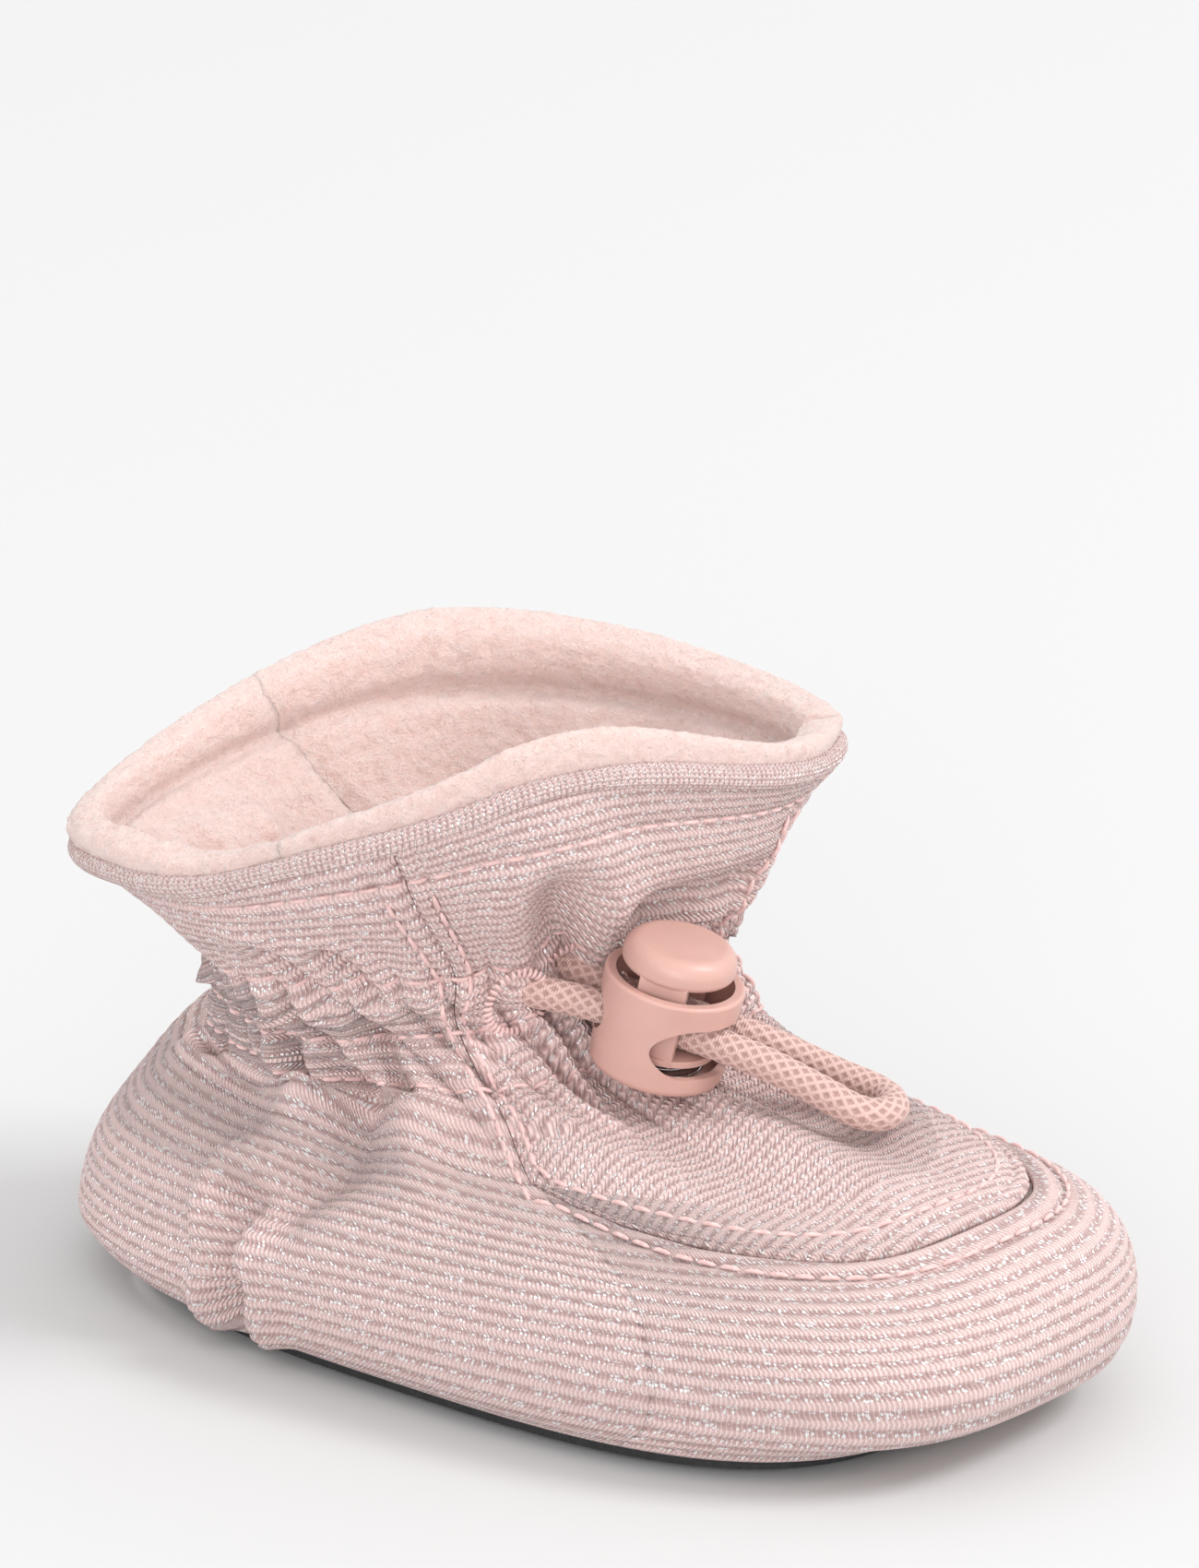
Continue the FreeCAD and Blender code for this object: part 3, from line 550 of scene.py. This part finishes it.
knit = knit_material()
fleece = fleece_material()
braid = braid_material()
thread = thread_material()
plastic = plastic_material()
rubber = grained_material("sole_rubber_grain", (0.010, 0.010, 0.011), (0.028, 0.028, 0.030), 0.62,
                          1400.0, 0.00006)
felt = grained_material("needled_felt", (0.55, 0.53, 0.50), (0.74, 0.72, 0.69), 0.95, 900.0, 0.0003)
webbing = grained_material("woven_elastic", (0.60, 0.57, 0.53), (0.80, 0.77, 0.73), 0.8, 1700.0,
                           0.0002)
steel = grained_material("bright_wire", (0.50, 0.50, 0.51), (0.66, 0.66, 0.67), 0.22, 1200.0,
                         0.00001, 1.0)

# ---------------------------------------------------------------- camera
AZIMUTH, ELEVATION, DISTANCE = 40.0, 22.5, 0.9
AIM_UP = 0.0612          # how far above the origin the lens points, as a share of the distance
az, el = math.radians(AZIMUTH), math.radians(ELEVATION)
back = Vector((math.sin(az) * math.cos(el), -math.cos(az) * math.cos(el), math.sin(el)))
right = Vector((math.cos(az), math.sin(az), 0))
camera = bpy.data.objects.new("camera", bpy.data.cameras.new("camera"))
bpy.context.scene.collection.objects.link(camera)
camera.data.sensor_width = 36.0
camera.data.lens = 202.0
camera.location = back * DISTANCE
camera.rotation_mode = "QUATERNION"
camera.rotation_quaternion = (back.cross(right) * AIM_UP - back).to_track_quat("-Z", "Y")
bpy.context.scene.camera = camera
bpy.context.scene.view_settings.view_transform = "Standard"

# ---------------------------------------------------------------- spring of the cord lock
# Millimetres, as in the CAD: the middle of the barrel's foot and the way it points.
LOCK_BASE = Vector((8.2, -1.2, 30.3))
LOCK_UP = Vector((0.2244, 0.0487, 0.9732)).normalized()
SPRING_LOW, SPRING_HIGH = 1.13, 2.67
SPRING_FOOT_R, SPRING_TOP_R, SPRING_WIRE, SPRING_TURNS = 4.9, 2.9, 0.2, 3


def build_spring():
    """Conical coil between the barrel's floor and the button's foot disc."""
    side = LOCK_UP.cross(Vector((0, 1, 0))).normalized()
    other = LOCK_UP.cross(side)
    base, up, side, other = (np.array(v[:]) for v in (LOCK_BASE, LOCK_UP, side, other))
    share = np.linspace(0, 1, 240)[:, None]
    turn = 2 * np.pi * SPRING_TURNS * share
    radius = SPRING_FOOT_R + (SPRING_TOP_R - SPRING_FOOT_R) * share
    line = (base + up * (SPRING_LOW + (SPRING_HIGH - SPRING_LOW) * share)
            + side * radius * np.cos(turn) + other * radius * np.sin(turn))
    outward = side * np.cos(turn) + other * np.sin(turn)
    phi = np.linspace(0, 2 * np.pi, 13)
    points = (line[:, None] + outward[:, None] * (SPRING_WIRE * np.cos(phi))[None, :, None]
              + up * (SPRING_WIRE * np.sin(phi))[None, :, None])
    return points.reshape(-1, 3), grid_faces(240, 13)


spring = welded_piece("lock_spring", build_spring(), "cord_lock", steel, "spring_steel",
                      "cord_lock_spring")
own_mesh(spring)

# ---------------------------------------------------------------- drawcord
# The same route as the CAD, in metres: out of the near hole, through the lock, round the end
# of the loop, back through the lock and into the far hole.
LOOP_ROUTE = [(-0.0104, -0.0139, 0.0381), (-0.0072, -0.0109, 0.0383), (0.0023, -0.0064, 0.0378),
              (0.0180, 0.0007, 0.0338), (0.0252, 0.0040, 0.0304), (0.0293, 0.0059, 0.0281),
              (0.0302, 0.0101, 0.0275), (0.0269, 0.0129, 0.0278), (0.0224, 0.0106, 0.0294),
              (0.0169, 0.0046, 0.0339), (0.0052, -0.0006, 0.0368), (-0.0019, -0.0026, 0.0386),
              (-0.0044, -0.0008, 0.0394), (-0.0033, 0.0029, 0.03975)]


def route_line(points):
    """Points along the smooth line of a route, metres."""
    curve = bpy.data.curves.new("route", "CURVE")
    curve.dimensions = "3D"
    curve.resolution_u = 24
    spline = curve.splines.new("NURBS")
    spline.points.add(len(points) - 1)
    for point, place in zip(spline.points, points):
        point.co = (*place, 1)
    spline.order_u = 3
    spline.use_endpoint_u = True
    holder = bpy.data.objects.new("route", curve)
    bpy.context.scene.collection.objects.link(holder)
    bpy.context.view_layer.update()
    line = bpy.data.meshes.new_from_object(holder)
    path = np.array([v.co[:] for v in line.vertices])
    bpy.data.objects.remove(holder)
    return path


def even_steps(path, step):
    """The same line with points a fixed distance apart."""
    lengths = np.r_[0, np.cumsum(np.linalg.norm(np.diff(path, axis=0), axis=1))]
    places = np.linspace(0, lengths[-1], int(lengths[-1] / step) + 1)
    return np.stack([np.interp(places, lengths, path[:, k]) for k in range(3)], -1), places


def tube_frames(path):
    """Tangent and two side directions that don't spin along the line."""
    tangent = np.gradient(path, axis=0)
    tangent /= np.linalg.norm(tangent, axis=1, keepdims=True)
    side = np.cross(tangent[0], (0.0, 0.0, 1.0))
    side /= np.linalg.norm(side)
    sides = []
    for t in tangent:
        side = side - t * np.dot(side, t)
        side = side / np.linalg.norm(side)
        sides.append(side)
    sides = np.array(sides)
    return tangent, sides, np.cross(tangent, sides)


BRAID_YARNS = 16
# The braid is drawn thinner than the real cord, so that it clears the button's leg at full slide.
BRAID_SHARE = 0.94


def braided_tube(name, path_mm, radius, step=0.16, around=96):
    """Tube whose surface carries the over-and-under of a tubular braid."""
    line, places = even_steps(path_mm, step)
    _, side, other = tube_frames(line)
    turn = np.linspace(0, 2 * np.pi, around, endpoint=False)
    s, phi = np.meshgrid(places, turn, indexing="ij")
    lay = 2 * np.pi * s / PLAIT_LENGTH
    one_way = np.cos(BRAID_YARNS / 2 * phi + lay)
    other_way = np.cos(BRAID_YARNS / 2 * phi - lay)
    height = 0.05 * radius * np.maximum(one_way, other_way) - 0.04 * radius
    r = radius * BRAID_SHARE + height
    points = (line[:, None] + side[:, None] * (np.cos(phi) * r)[..., None]
              + other[:, None] * (np.sin(phi) * r)[..., None])
    count = len(places)
    i, j = np.meshgrid(np.arange(count - 1), np.arange(around), indexing="ij")
    k = (j + 1) % around
    quads = np.stack([i * around + j, i * around + k, (i + 1) * around + k, (i + 1) * around + j],
                     -1).reshape(-1, 4)
    ends = np.array([line[0], line[-1]])
    tips = count * around
    faces = quads.tolist()
    for j in range(around):
        k = (j + 1) % around
        faces.append([tips, k, j])
        faces.append([tips + 1, tips - around + j, tips - around + k])
    weave = np.stack([s, phi / (2 * np.pi) * BRAID_YARNS], -1).reshape(-1, 2)
    weave = np.concatenate([weave, [[0, 0], [places[-1], 0]]])
    return make_object(name, np.concatenate([points.reshape(-1, 3), ends]), faces, weave)


loop_path = route_line(LOOP_ROUTE)
cord = braided_tube("drawcord", loop_path / MM, CORD_R)
finish_piece(cord, "bootie", braid, "cord_braid", "drawcord_loop")

round_ankle = np.arange(20.0, 301.0, 5.0)
hidden_path = np.vstack([np.array(LOOP_ROUTE[-1]) / MM, skin(round_ankle, CORD_ROW, CORD_DEPTH),
                         np.array(LOOP_ROUTE[0]) / MM])
hidden_cord = braided_tube("drawcord_in_casing", hidden_path, CORD_R, 0.5, 24)
finish_piece(hidden_cord, "bootie", braid, "cord_braid", "drawcord_channel_run")


# ---------------------------------------------------------------- outer cloth
def arc_table(angle, rows):
    line = skin(np.full_like(rows, float(angle)), rows)
    return np.r_[0, np.cumsum(np.linalg.norm(np.diff(line, axis=0), axis=1))]


WRAP_ROWS = np.linspace(0, 10, 201)
WRAP_ARC = arc_table(-110, WRAP_ROWS)


def wrap_count(row):
    """Number of ribs from the sole edge up to a row of the wrap."""
    return np.interp(row, WRAP_ROWS, WRAP_ARC) / RIB_PITCH


def wrap_seam_distance(angle, row):
    toe = (seam_row(np.clip(angle, -TOE_CORNER, TOE_CORNER)) - row) * MM_PER_ROW
    shaft = (np.abs(angle) - seam_angle(row)) * 0.42
    return np.where(row < TOE_CORNER_ROW, np.where(np.abs(angle) < TOE_CORNER, toe, 9.0), shaft)


INNER_LIFT = 0.12          # mm by which the panels are thinner than OUTER_THICK


def cloth_faces(angle, row, height):
    """Outer face of a panel at a height over the smooth skin, and its inner face."""
    inner_depth = np.maximum(OUTER_THICK - np.minimum(height, 0), OUTER_THICK) - INNER_LIFT
    return skin(angle, row, -height), skin(angle, row, inner_depth)


def wrap_patch(place, columns, rows):
    u, v = np.meshgrid(np.linspace(0, 1, columns), np.linspace(0, 1, rows), indexing="ij")
    angle, row = place(u, v)
    count = wrap_count(row)
    tuck = seam_tuck(np.abs(wrap_seam_distance(angle, row)))
    heel_off = np.where(np.abs(angle) > 150, (180 - np.abs(angle)) * 0.7, 9.0)
    height = relief(angle, row) + rib(count) - tuck - 0.5 * bell(heel_off, 0.5)
    outer, inner = cloth_faces(angle, row, height)
    along = np.cumsum(np.linalg.norm(np.diff(outer, axis=0, prepend=outer[:1]), axis=2), axis=0)
    return shell_parts(outer, inner, np.stack([along, count], -1))


def wrap_toe(u, v):
    angle = TOE_CORNER * (2 * u - 1)
    return angle, v * (seam_row(angle) - SEAM_GAP)


def wrap_low(sign):
    def place(u, v):
        row = v * (TOE_CORNER_ROW - SEAM_GAP)
        return sign * (TOE_CORNER + (180 - heel_turn(row, HEEL_GAP) - TOE_CORNER) * u), row
    return place


def wrap_high(sign):
    def place(u, v):
        low = TOE_CORNER_ROW - SEAM_GAP
        row = low + (CLOTH_TOP - low) * v
        front = seam_angle(row) + SEAM_TURN * np.minimum(v * 8, 1)
        return sign * (front + (180 - heel_turn(row, HEEL_GAP) - front) * u), row
    return place


wrap_parts = [wrap_patch(wrap_toe, 180, 120)]
for way in (1, -1):
    wrap_parts.append(wrap_patch(wrap_low(way), 130, 130))
    wrap_parts.append(wrap_patch(wrap_high(way), 200, 170))
wrap = welded_piece("side_wall_cloth", join_parts(wrap_parts), "bootie", knit, "outer_knit",
                    "side_wall_wrap")


def front_edge(sign, v):
    share = np.clip(v / SIDE_SHARE, 0, 1)
    toe_angle = TOE_EDGE + (TOE_CORNER - TOE_EDGE) * share
    low = TOE_CORNER_ROW + SEAM_GAP
    row = low + (CLOTH_TOP - low) * np.clip((v - SIDE_SHARE) / (1 - SIDE_SHARE), 0, 1)
    toe = v < SIDE_SHARE
    angle = np.where(toe, toe_angle - SEAM_TURN * share, seam_angle(row) - SEAM_TURN)
    return sign * angle, np.where(toe, seam_row(sign * toe_angle) + SEAM_GAP, row)


def front_place(u, v):
    """Smooth patch inside the front panel's four edges."""
    left, right_edge = front_edge(-1, v), front_edge(1, v)
    low_angle = TOE_EDGE * (2 * u - 1)
    low = (low_angle, seam_row(low_angle) + SEAM_GAP)
    near_top, far_top = (float(front_edge(s, np.array(1.0))[0]) for s in (-1, 1))
    high = (near_top + (far_top - near_top) * u, CLOTH_TOP)
    corners = [front_edge(s, np.array(0.0)) for s in (-1, 1)]
    corners += [(near_top, CLOTH_TOP), (far_top, CLOTH_TOP)]
    out = []
    for k in (0, 1):
        flat = ((1 - u) * (1 - v) * corners[0][k] + u * (1 - v) * corners[1][k]
                + (1 - u) * v * corners[2][k] + u * v * corners[3][k])
        out.append((1 - u) * left[k] + u * right_edge[k] + (1 - v) * low[k] + v * high[k] - flat)
    return out[0], out[1]


def build_front():
    columns, rows = 200, 330
    u, v = np.meshgrid(np.linspace(0, 1, columns), np.linspace(0, 1, rows), indexing="ij")
    angle, row = front_place(u, v)
    smooth_face = skin(angle, row)
    across = np.linalg.norm(np.diff(smooth_face, axis=0, prepend=smooth_face[:1]), axis=2)
    from_left = np.cumsum(across, axis=0)
    to_edge = np.minimum(from_left, from_left[-1:] - from_left)
    upward = np.linalg.norm(np.diff(smooth_face, axis=1, prepend=smooth_face[:, :1]), axis=2)
    from_toe = np.cumsum(upward, axis=1)
    middle = from_toe[columns // 2]
    middle_x = smooth_face[columns // 2, :, 0]
    waist = middle_x.argmin()
    across_foot = np.interp(smooth_face[..., 0], middle_x[waist::-1], middle[waist::-1])
    round_shaft = np.broadcast_to(middle, from_toe.shape)
    share = np.clip((row - 5.4) / 1.3, 0, 1)
    count = (across_foot + (round_shaft - across_foot) * share) / RIB_PITCH
    tuck = seam_tuck(np.minimum(to_edge, from_toe))
    height = relief(angle, row) + rib(count) - tuck
    outer, inner = cloth_faces(angle, row, height)
    return shell_parts(outer, inner, np.stack([from_left, count], -1))


front = welded_piece("vamp_cloth", build_front(), "bootie", knit, "outer_knit",
                     "vamp_front_panel")


# ---------------------------------------------------------------- rim binding
RIM_RIB_PITCH = 0.65


def build_rim():
    """Rolled strip over the rim, its ribs running up and over."""
    columns, rows = 2000, 25
    angle = np.linspace(-180, 180, columns)
    centre = skin(angle, 9.86, 0.85)
    out = normal_at(angle, np.full_like(angle, 9.86))
    up = skin(angle, 9.95) - skin(angle, 9.75)
    up /= np.linalg.norm(up, axis=1, keepdims=True)
    phi = np.linspace(0, 2 * np.pi, rows)
    lengths = np.cumsum(np.linalg.norm(np.diff(centre, axis=0, prepend=centre[:1]), axis=1))
    count = lengths / RIM_RIB_PITCH
    total = round(count[-1])
    count = count * total / count[-1]
    wave = 1 + 0.06 * np.sin(7 * np.radians(angle)) + 0.05 * np.sin(13 * np.radians(angle) + 1)
    swell = (wave + rib(count) * 0.25)[:, None, None]
    points = (centre[:, None] + out[:, None] * (1.05 * np.cos(phi))[None, :, None] * swell
              + up[:, None] * (1.35 * np.sin(phi))[None, :, None] * swell)
    along = np.broadcast_to((phi * 1.3)[None], (columns, rows))
    weave = np.stack([along, np.broadcast_to(count[:, None], (columns, rows))], -1)
    return points.reshape(-1, 3), grid_faces(columns, rows), weave.reshape(-1, 2)


rim = welded_piece("rim_roll", build_rim(), "bootie", knit, "outer_knit", "rim_binding")


# ---------------------------------------------------------------- fleece lining
FLEECE_GROOVE_ROW = 9.5
FLEECE_TOP_ROW = 10.16
FLEECE_LOW_ROW = 0.78
FLEECE_ROLL_ROW = 9.88
# Soft bulges and hollows of the fleece: angle, row, how far it stands in, degrees, rows.
FLEECE_FOLDS = [(-152, 8.4, 4.2, 20, 0.7), (-174, 7.8, -1.5, 9, 1.2), (141, 8.4, -2.2, 14, 0.8),
                (120, 8.2, 3.0, 8, 1.0), (104, 8.8, -2.0, 6, 0.5), (92, 8.5, 3.0, 6, 0.9),
                (82, 9.0, -2.0, 5, 0.4), (68, 8.7, 2.4, 7, 0.7), (-60, 8.6, 1.2, 16, 0.7),
                (10, 8.5, 1.3, 14, 0.8)]


def fleece_relief(angle, row):
    a = np.radians(angle)
    height = 0.35 * np.sin(4 * a + 0.9 * row) * np.sin(0.8 * row) + 0.2 * np.sin(9 * a - row)
    for fold_angle, fold_row, stand, degrees, rows in FLEECE_FOLDS:
        round_way = bell(wrap_angle(angle - fold_angle), degrees)
        height = height + stand * round_way * bell(row - fold_row, rows)
    height = height + bell(row - CORD_ROW, 0.9) * 0.7 * np.cos(16 * a)
    lumps = 0.12 * np.sin(31 * a + 3 * np.sin(5 * a)) + 0.1 * np.sin(53 * a)
    roll = (1.5 + lumps) * bell(row - FLEECE_ROLL_ROW, 0.26)
    groove = 1.7 * bell(row - FLEECE_GROOVE_ROW, 0.09)
    return height * np.clip((9.6 - row) / 0.8, 0.1, 1) + roll - groove


def fleece_panel(name, first_edge, last_edge, node_name):
    columns, rows = 170, 210
    u, v = np.meshgrid(np.linspace(0, 1, columns), np.linspace(0, 1, rows), indexing="ij")
    row = FLEECE_LOW_ROW + (FLEECE_TOP_ROW - FLEECE_LOW_ROW) * (1 - (1 - v)**1.25)
    first, last = first_edge(row), last_edge(row)
    angle = first + (last - first) * u
    near_seam = np.minimum(u, 1 - u) * np.abs(last - first) * 0.5
    round_share = np.clip((row - FLEECE_ROLL_ROW) / (FLEECE_TOP_ROW - FLEECE_ROLL_ROW), 0, 1)
    rounding = np.sqrt(np.clip(1 - round_share**2, 0.003, 1))
    thick = LINING_THICK + fleece_relief(angle, row) - 0.9 * bell(near_seam, 1.4)
    thick = np.maximum(thick, 0.5)
    valley = np.maximum(-relief(angle, row), 0) * np.clip((9.6 - row) / 0.4, 0, 1)
    behind_cloth = OUTER_THICK + 0.25 + valley
    start = np.maximum(lining_depth(row), behind_cloth)
    thick = np.maximum(thick - 0.5 * (start - lining_depth(row)), 0.5)
    top = start + thick * (1 - rounding) / 2
    outer = skin(angle, row, top)
    inner = skin(angle, row, top + thick * rounding)
    weave = np.stack([angle, row], -1)
    piece = make_object(name, *shell_parts(outer, inner, weave))
    weld(piece)
    pile = bpy.data.textures.new(name + "_pile", "CLOUDS")
    pile.noise_scale = 0.0009
    pile.noise_depth = 3
    puff = piece.modifiers.new("pile", "DISPLACE")
    puff.texture = pile
    puff.texture_coords = "LOCAL"
    puff.strength = 0.0005
    puff.mid_level = 0.6
    return finish_piece(piece, "bootie", fleece, "fleece", node_name)


def heel_lean(row):
    """The centre-back seam runs aslant from the rim down into the neck."""
    return np.interp(row, [6.0, 8.0, 9.0, 9.9], [-14.0, -18.0, -4.0, 7.0])


def steady(angle):
    return lambda row: np.full_like(row, float(angle))


def heel_side(sign):
    return lambda row: np.full_like(row, sign * 180.1) + heel_lean(row)


linings = {
    "front": fleece_panel("fleece_front", steady(-LINING_SEAM), steady(LINING_SEAM),
                          "lining_front"),
    "near": fleece_panel("fleece_near", heel_side(-1), steady(LINING_LAP - LINING_SEAM),
                         "lining_near_side"),
    "far": fleece_panel("fleece_far", steady(LINING_SEAM - LINING_LAP), heel_side(1),
                        "lining_far_side")}


# ---------------------------------------------------------------- elastic, insole and padding
def build_elastic():
    columns, rows = 400, 9
    u, v = np.meshgrid(np.linspace(-179.8, 179.8, columns), np.linspace(6.36, 6.64, rows),
                       indexing="ij")
    crimp = 0.25 + 0.06 * np.cos(np.radians(u) * 90) + np.maximum(-relief(u, v), 0)
    return shell_parts(skin(u, v, 0.8 + crimp), skin(u, v, 1.15 + crimp), np.stack([u, v], -1))


elastic = welded_piece("elastic_band", build_elastic(), "bootie", webbing, "elastic",
                       "ankle_elastic")


def build_pad(node_name, crown, edge_radius):
    """Crowned pad that fills the box of a CAD node, with a rounded edge."""
    low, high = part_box(node_name)
    centre = (low + high) / 2 / MM
    half = (high - low) / 2 / MM
    columns, rows = 180, 40
    turn = np.linspace(0, 2 * np.pi, columns)
    across = np.linspace(0, 1, rows)
    t, w = np.meshgrid(turn, across, indexing="ij")
    c = np.sign(np.cos(t)) * np.abs(np.cos(t))**0.68
    s = np.sign(np.sin(t)) * np.abs(np.sin(t))**0.68
    drop = half.z * 2 * np.clip((w - (1 - edge_radius)) / edge_radius, 0, 1)**2.5
    top = np.stack([centre.x + half.x * w * c * 0.99, centre.y + half.y * w * s * 0.99,
                    centre.z + half.z - crown * w**2 - drop * 0.6], -1)
    under = top.copy()
    under[..., 2] = np.minimum(centre.z - half.z + 0.05, top[..., 2] - 0.1)
    points = np.concatenate([top.reshape(-1, 3), under.reshape(-1, 3)])
    shift = columns * rows
    index = np.arange(shift).reshape(columns, rows)[:, -1]
    side = np.stack([index[:-1], index[:-1] + shift, index[1:] + shift, index[1:]], -1)
    faces = np.concatenate([grid_faces(columns, rows), grid_faces(columns, rows, shift, True),
                            side])
    weave = np.stack([t, w], -1).reshape(-1, 2)
    return points, faces, np.concatenate([weave, weave])


insole = welded_piece("insole_pile", build_pad("insole_fleece", 0.4, 0.06), "bootie", fleece,
                      "fleece", "insole_fleece")
padding = welded_piece("sole_felt", build_pad("sole_padding", 0.1, 0.04), "bootie", felt,
                       "padding", "sole_padding")


# ---------------------------------------------------------------- stitching
def surface(angle, row):
    """Top of the cloth with its ribs left out, where thread lies."""
    return skin(angle, row, -(relief(angle, row) + 0.10))


def thread_bars(points, out, length=2.0, pitch=2.5, radius=0.24):
    """Short bent threads laid end to end along a line, dipping in at their ends."""
    lengths = np.r_[0, np.cumsum(np.linalg.norm(np.diff(points, axis=0), axis=1))]
    parts = []
    rings, around = 7, 8
    turn = np.linspace(0, 2 * np.pi, around, endpoint=False)
    for start in np.arange(0.3, lengths[-1] - length, pitch):
        where = np.linspace(start, start + length, rings)
        line = np.stack([np.interp(where, lengths, points[:, k]) for k in range(3)], -1)
        up = np.stack([np.interp(where, lengths, out[:, k]) for k in range(3)], -1)
        way = np.gradient(line, axis=0)
        way /= np.linalg.norm(way, axis=1, keepdims=True)
        side = np.cross(up, way)
        side /= np.linalg.norm(side, axis=1, keepdims=True)
        share = np.linspace(-1, 1, rings)
        lift = 0.16 * (1 - share**2) - 0.10
        thick = radius * np.sqrt(np.clip(1 - 0.8 * share**4, 0, 1))
        mid = line + up * lift[:, None]
        ring = (mid[:, None] + side[:, None] * (np.cos(turn) * thick[:, None])[..., None]
                + up[:, None] * (np.sin(turn) * thick[:, None])[..., None])
        i, j = np.meshgrid(np.arange(rings - 1), np.arange(around), indexing="ij")
        k = (j + 1) % around
        quads = np.stack([i * around + j, (i + 1) * around + j, (i + 1) * around + k,
                          i * around + k], -1).reshape(-1, 4)
        caps = np.array([[0, 1, 2, 3], [0, 3, 4, 7], [4, 5, 6, 7]])
        last = caps[:, ::-1] + (rings - 1) * around
        weave = np.zeros((rings * around, 2))
        parts.append((ring.reshape(-1, 3), np.concatenate([quads, caps, last]), weave))
    return join_parts(parts)


def stitch_piece(name, angle, row, node_name):
    points = surface(angle, row)
    piece = make_object(name, *thread_bars(points, normal_at(angle, row)))
    return finish_piece(piece, "bootie", thread, "thread", node_name)


def round_stitches(name, level, node_name):
    """Stitches all the way round at one row."""
    angle = np.linspace(-179, 179, 1200)
    return stitch_piece(name, angle, np.full_like(angle, level), node_name)


wall_threads = [round_stitches("rim_stitches", RIM_STITCH_ROW, "rim_topstitch")]
for cad_name, level in CASING_ROWS.items():
    wall_threads.append(round_stitches(cad_name + "_thread", level, cad_name))


def beside_seam(side_rows, side_degrees):
    """Line beside the panel seam, from the near rim round the toe to the far rim."""
    rise = np.linspace(SEAM_LINE_TOP, TOE_CORNER_ROW, 300)
    blend = np.linspace(0, 1, 300)
    shaft_angle = seam_angle(rise) + side_degrees
    shaft_row = rise + side_rows * blend
    toe = np.linspace(-1, 1, 700) * (TOE_CORNER + side_degrees)
    toe_row = seam_row(np.clip(toe, -TOE_CORNER, TOE_CORNER)) + side_rows
    return (np.r_[-shaft_angle, toe, shaft_angle[::-1]],
            np.r_[shaft_row, toe_row, shaft_row[::-1]])


SEAM_STITCH_ROWS = 0.3
SEAM_STITCH_DEGREES = 4.0
inner_thread = stitch_piece("vamp_thread_inner", *beside_seam(SEAM_STITCH_ROWS, -SEAM_STITCH_DEGREES),
                            "vamp_stitch_inner")
wall_threads.append(stitch_piece("vamp_thread_outer",
                                 *beside_seam(-SEAM_STITCH_ROWS, SEAM_STITCH_DEGREES),
                                 "vamp_stitch_outer"))
HEEL_STITCH_OFF = 1.6      # mm from the middle of the heel
heel_rows = np.linspace(0.5, 9.3, 500)
for side_name, sign in (("near", -1), ("far", 1)):
    wall_threads.append(stitch_piece("heel_thread_" + side_name,
                                     sign * (180 - heel_turn(heel_rows, HEEL_STITCH_OFF)), heel_rows,
                                     "heel_stitch_" + side_name))


def buttonhole(angle, row):
    """Ring of close radial stitches round a cord exit."""
    centre = surface(np.array(angle), np.array(row))
    out = normal_at(np.array(angle), np.array(row))
    side = np.cross(out, (0, 0, 1.0))
    side /= np.linalg.norm(side)
    up = np.cross(side, out)
    parts = []
    for turn in np.linspace(0, 2 * np.pi, 34, endpoint=False):
        way = side * math.cos(turn) + up * math.sin(turn)
        line = centre + np.outer(np.linspace(2.6, 4.1, 7), way)
        parts.append(thread_bars(line, np.tile(out, (7, 1)), 1.1, 9.0, 0.2))
    return parts


NEAR_HOLE = (-27.0, 7.25)
FAR_HOLE = (-9.0, 7.3)
holes = make_object("buttonhole_thread", *join_parts(buttonhole(*NEAR_HOLE)
                                                     + buttonhole(*FAR_HOLE)))
finish_piece(holes, "bootie", thread, "thread", "cord_buttonholes")

# ---------------------------------------------------------------- pieces kept from the CAD
for node_name, material in (("outsole", rubber), ("cord_lock_body", plastic),
                            ("cord_lock_button", plastic)):
    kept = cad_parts[node_name]
    kept.data.materials.clear()
    kept.data.materials.append(material)

# ---------------------------------------------------------------- floor and light
floor_mesh = bpy.data.meshes.new("floor")
floor_mesh.from_pydata([(-3, -3, 0), (3, -3, 0), (3, 3, 0), (-3, 3, 0)], [], [(0, 1, 2, 3)])
floor = bpy.data.objects.new("floor", floor_mesh)
bpy.context.scene.collection.objects.link(floor)
floor_mesh.materials.append(shader("pale_floor", (0.62, 0.62, 0.62), 0.9)[0])

world = bpy.data.worlds.new("studio")
world.use_nodes = True
world.node_tree.nodes["Background"].inputs["Color"].default_value = (1, 1, 1, 1)
world.node_tree.nodes["Background"].inputs["Strength"].default_value = 1.1
bpy.context.scene.world = world


def soft_light(name, place, power, size):
    lamp = bpy.data.lights.new(name, "AREA")
    lamp.energy = power
    lamp.size = size
    holder = bpy.data.objects.new(name, lamp)
    bpy.context.scene.collection.objects.link(holder)
    holder.location = place
    holder.rotation_mode = "QUATERNION"
    holder.rotation_quaternion = (Vector((0, 0, 0.03)) - Vector(place)).to_track_quat("-Z", "Y")


soft_light("key", (1.5, 0.9, 1.9), 32.0, 0.8)
soft_light("front", (1.3, -2.0, 0.6), 22.0, 1.4)
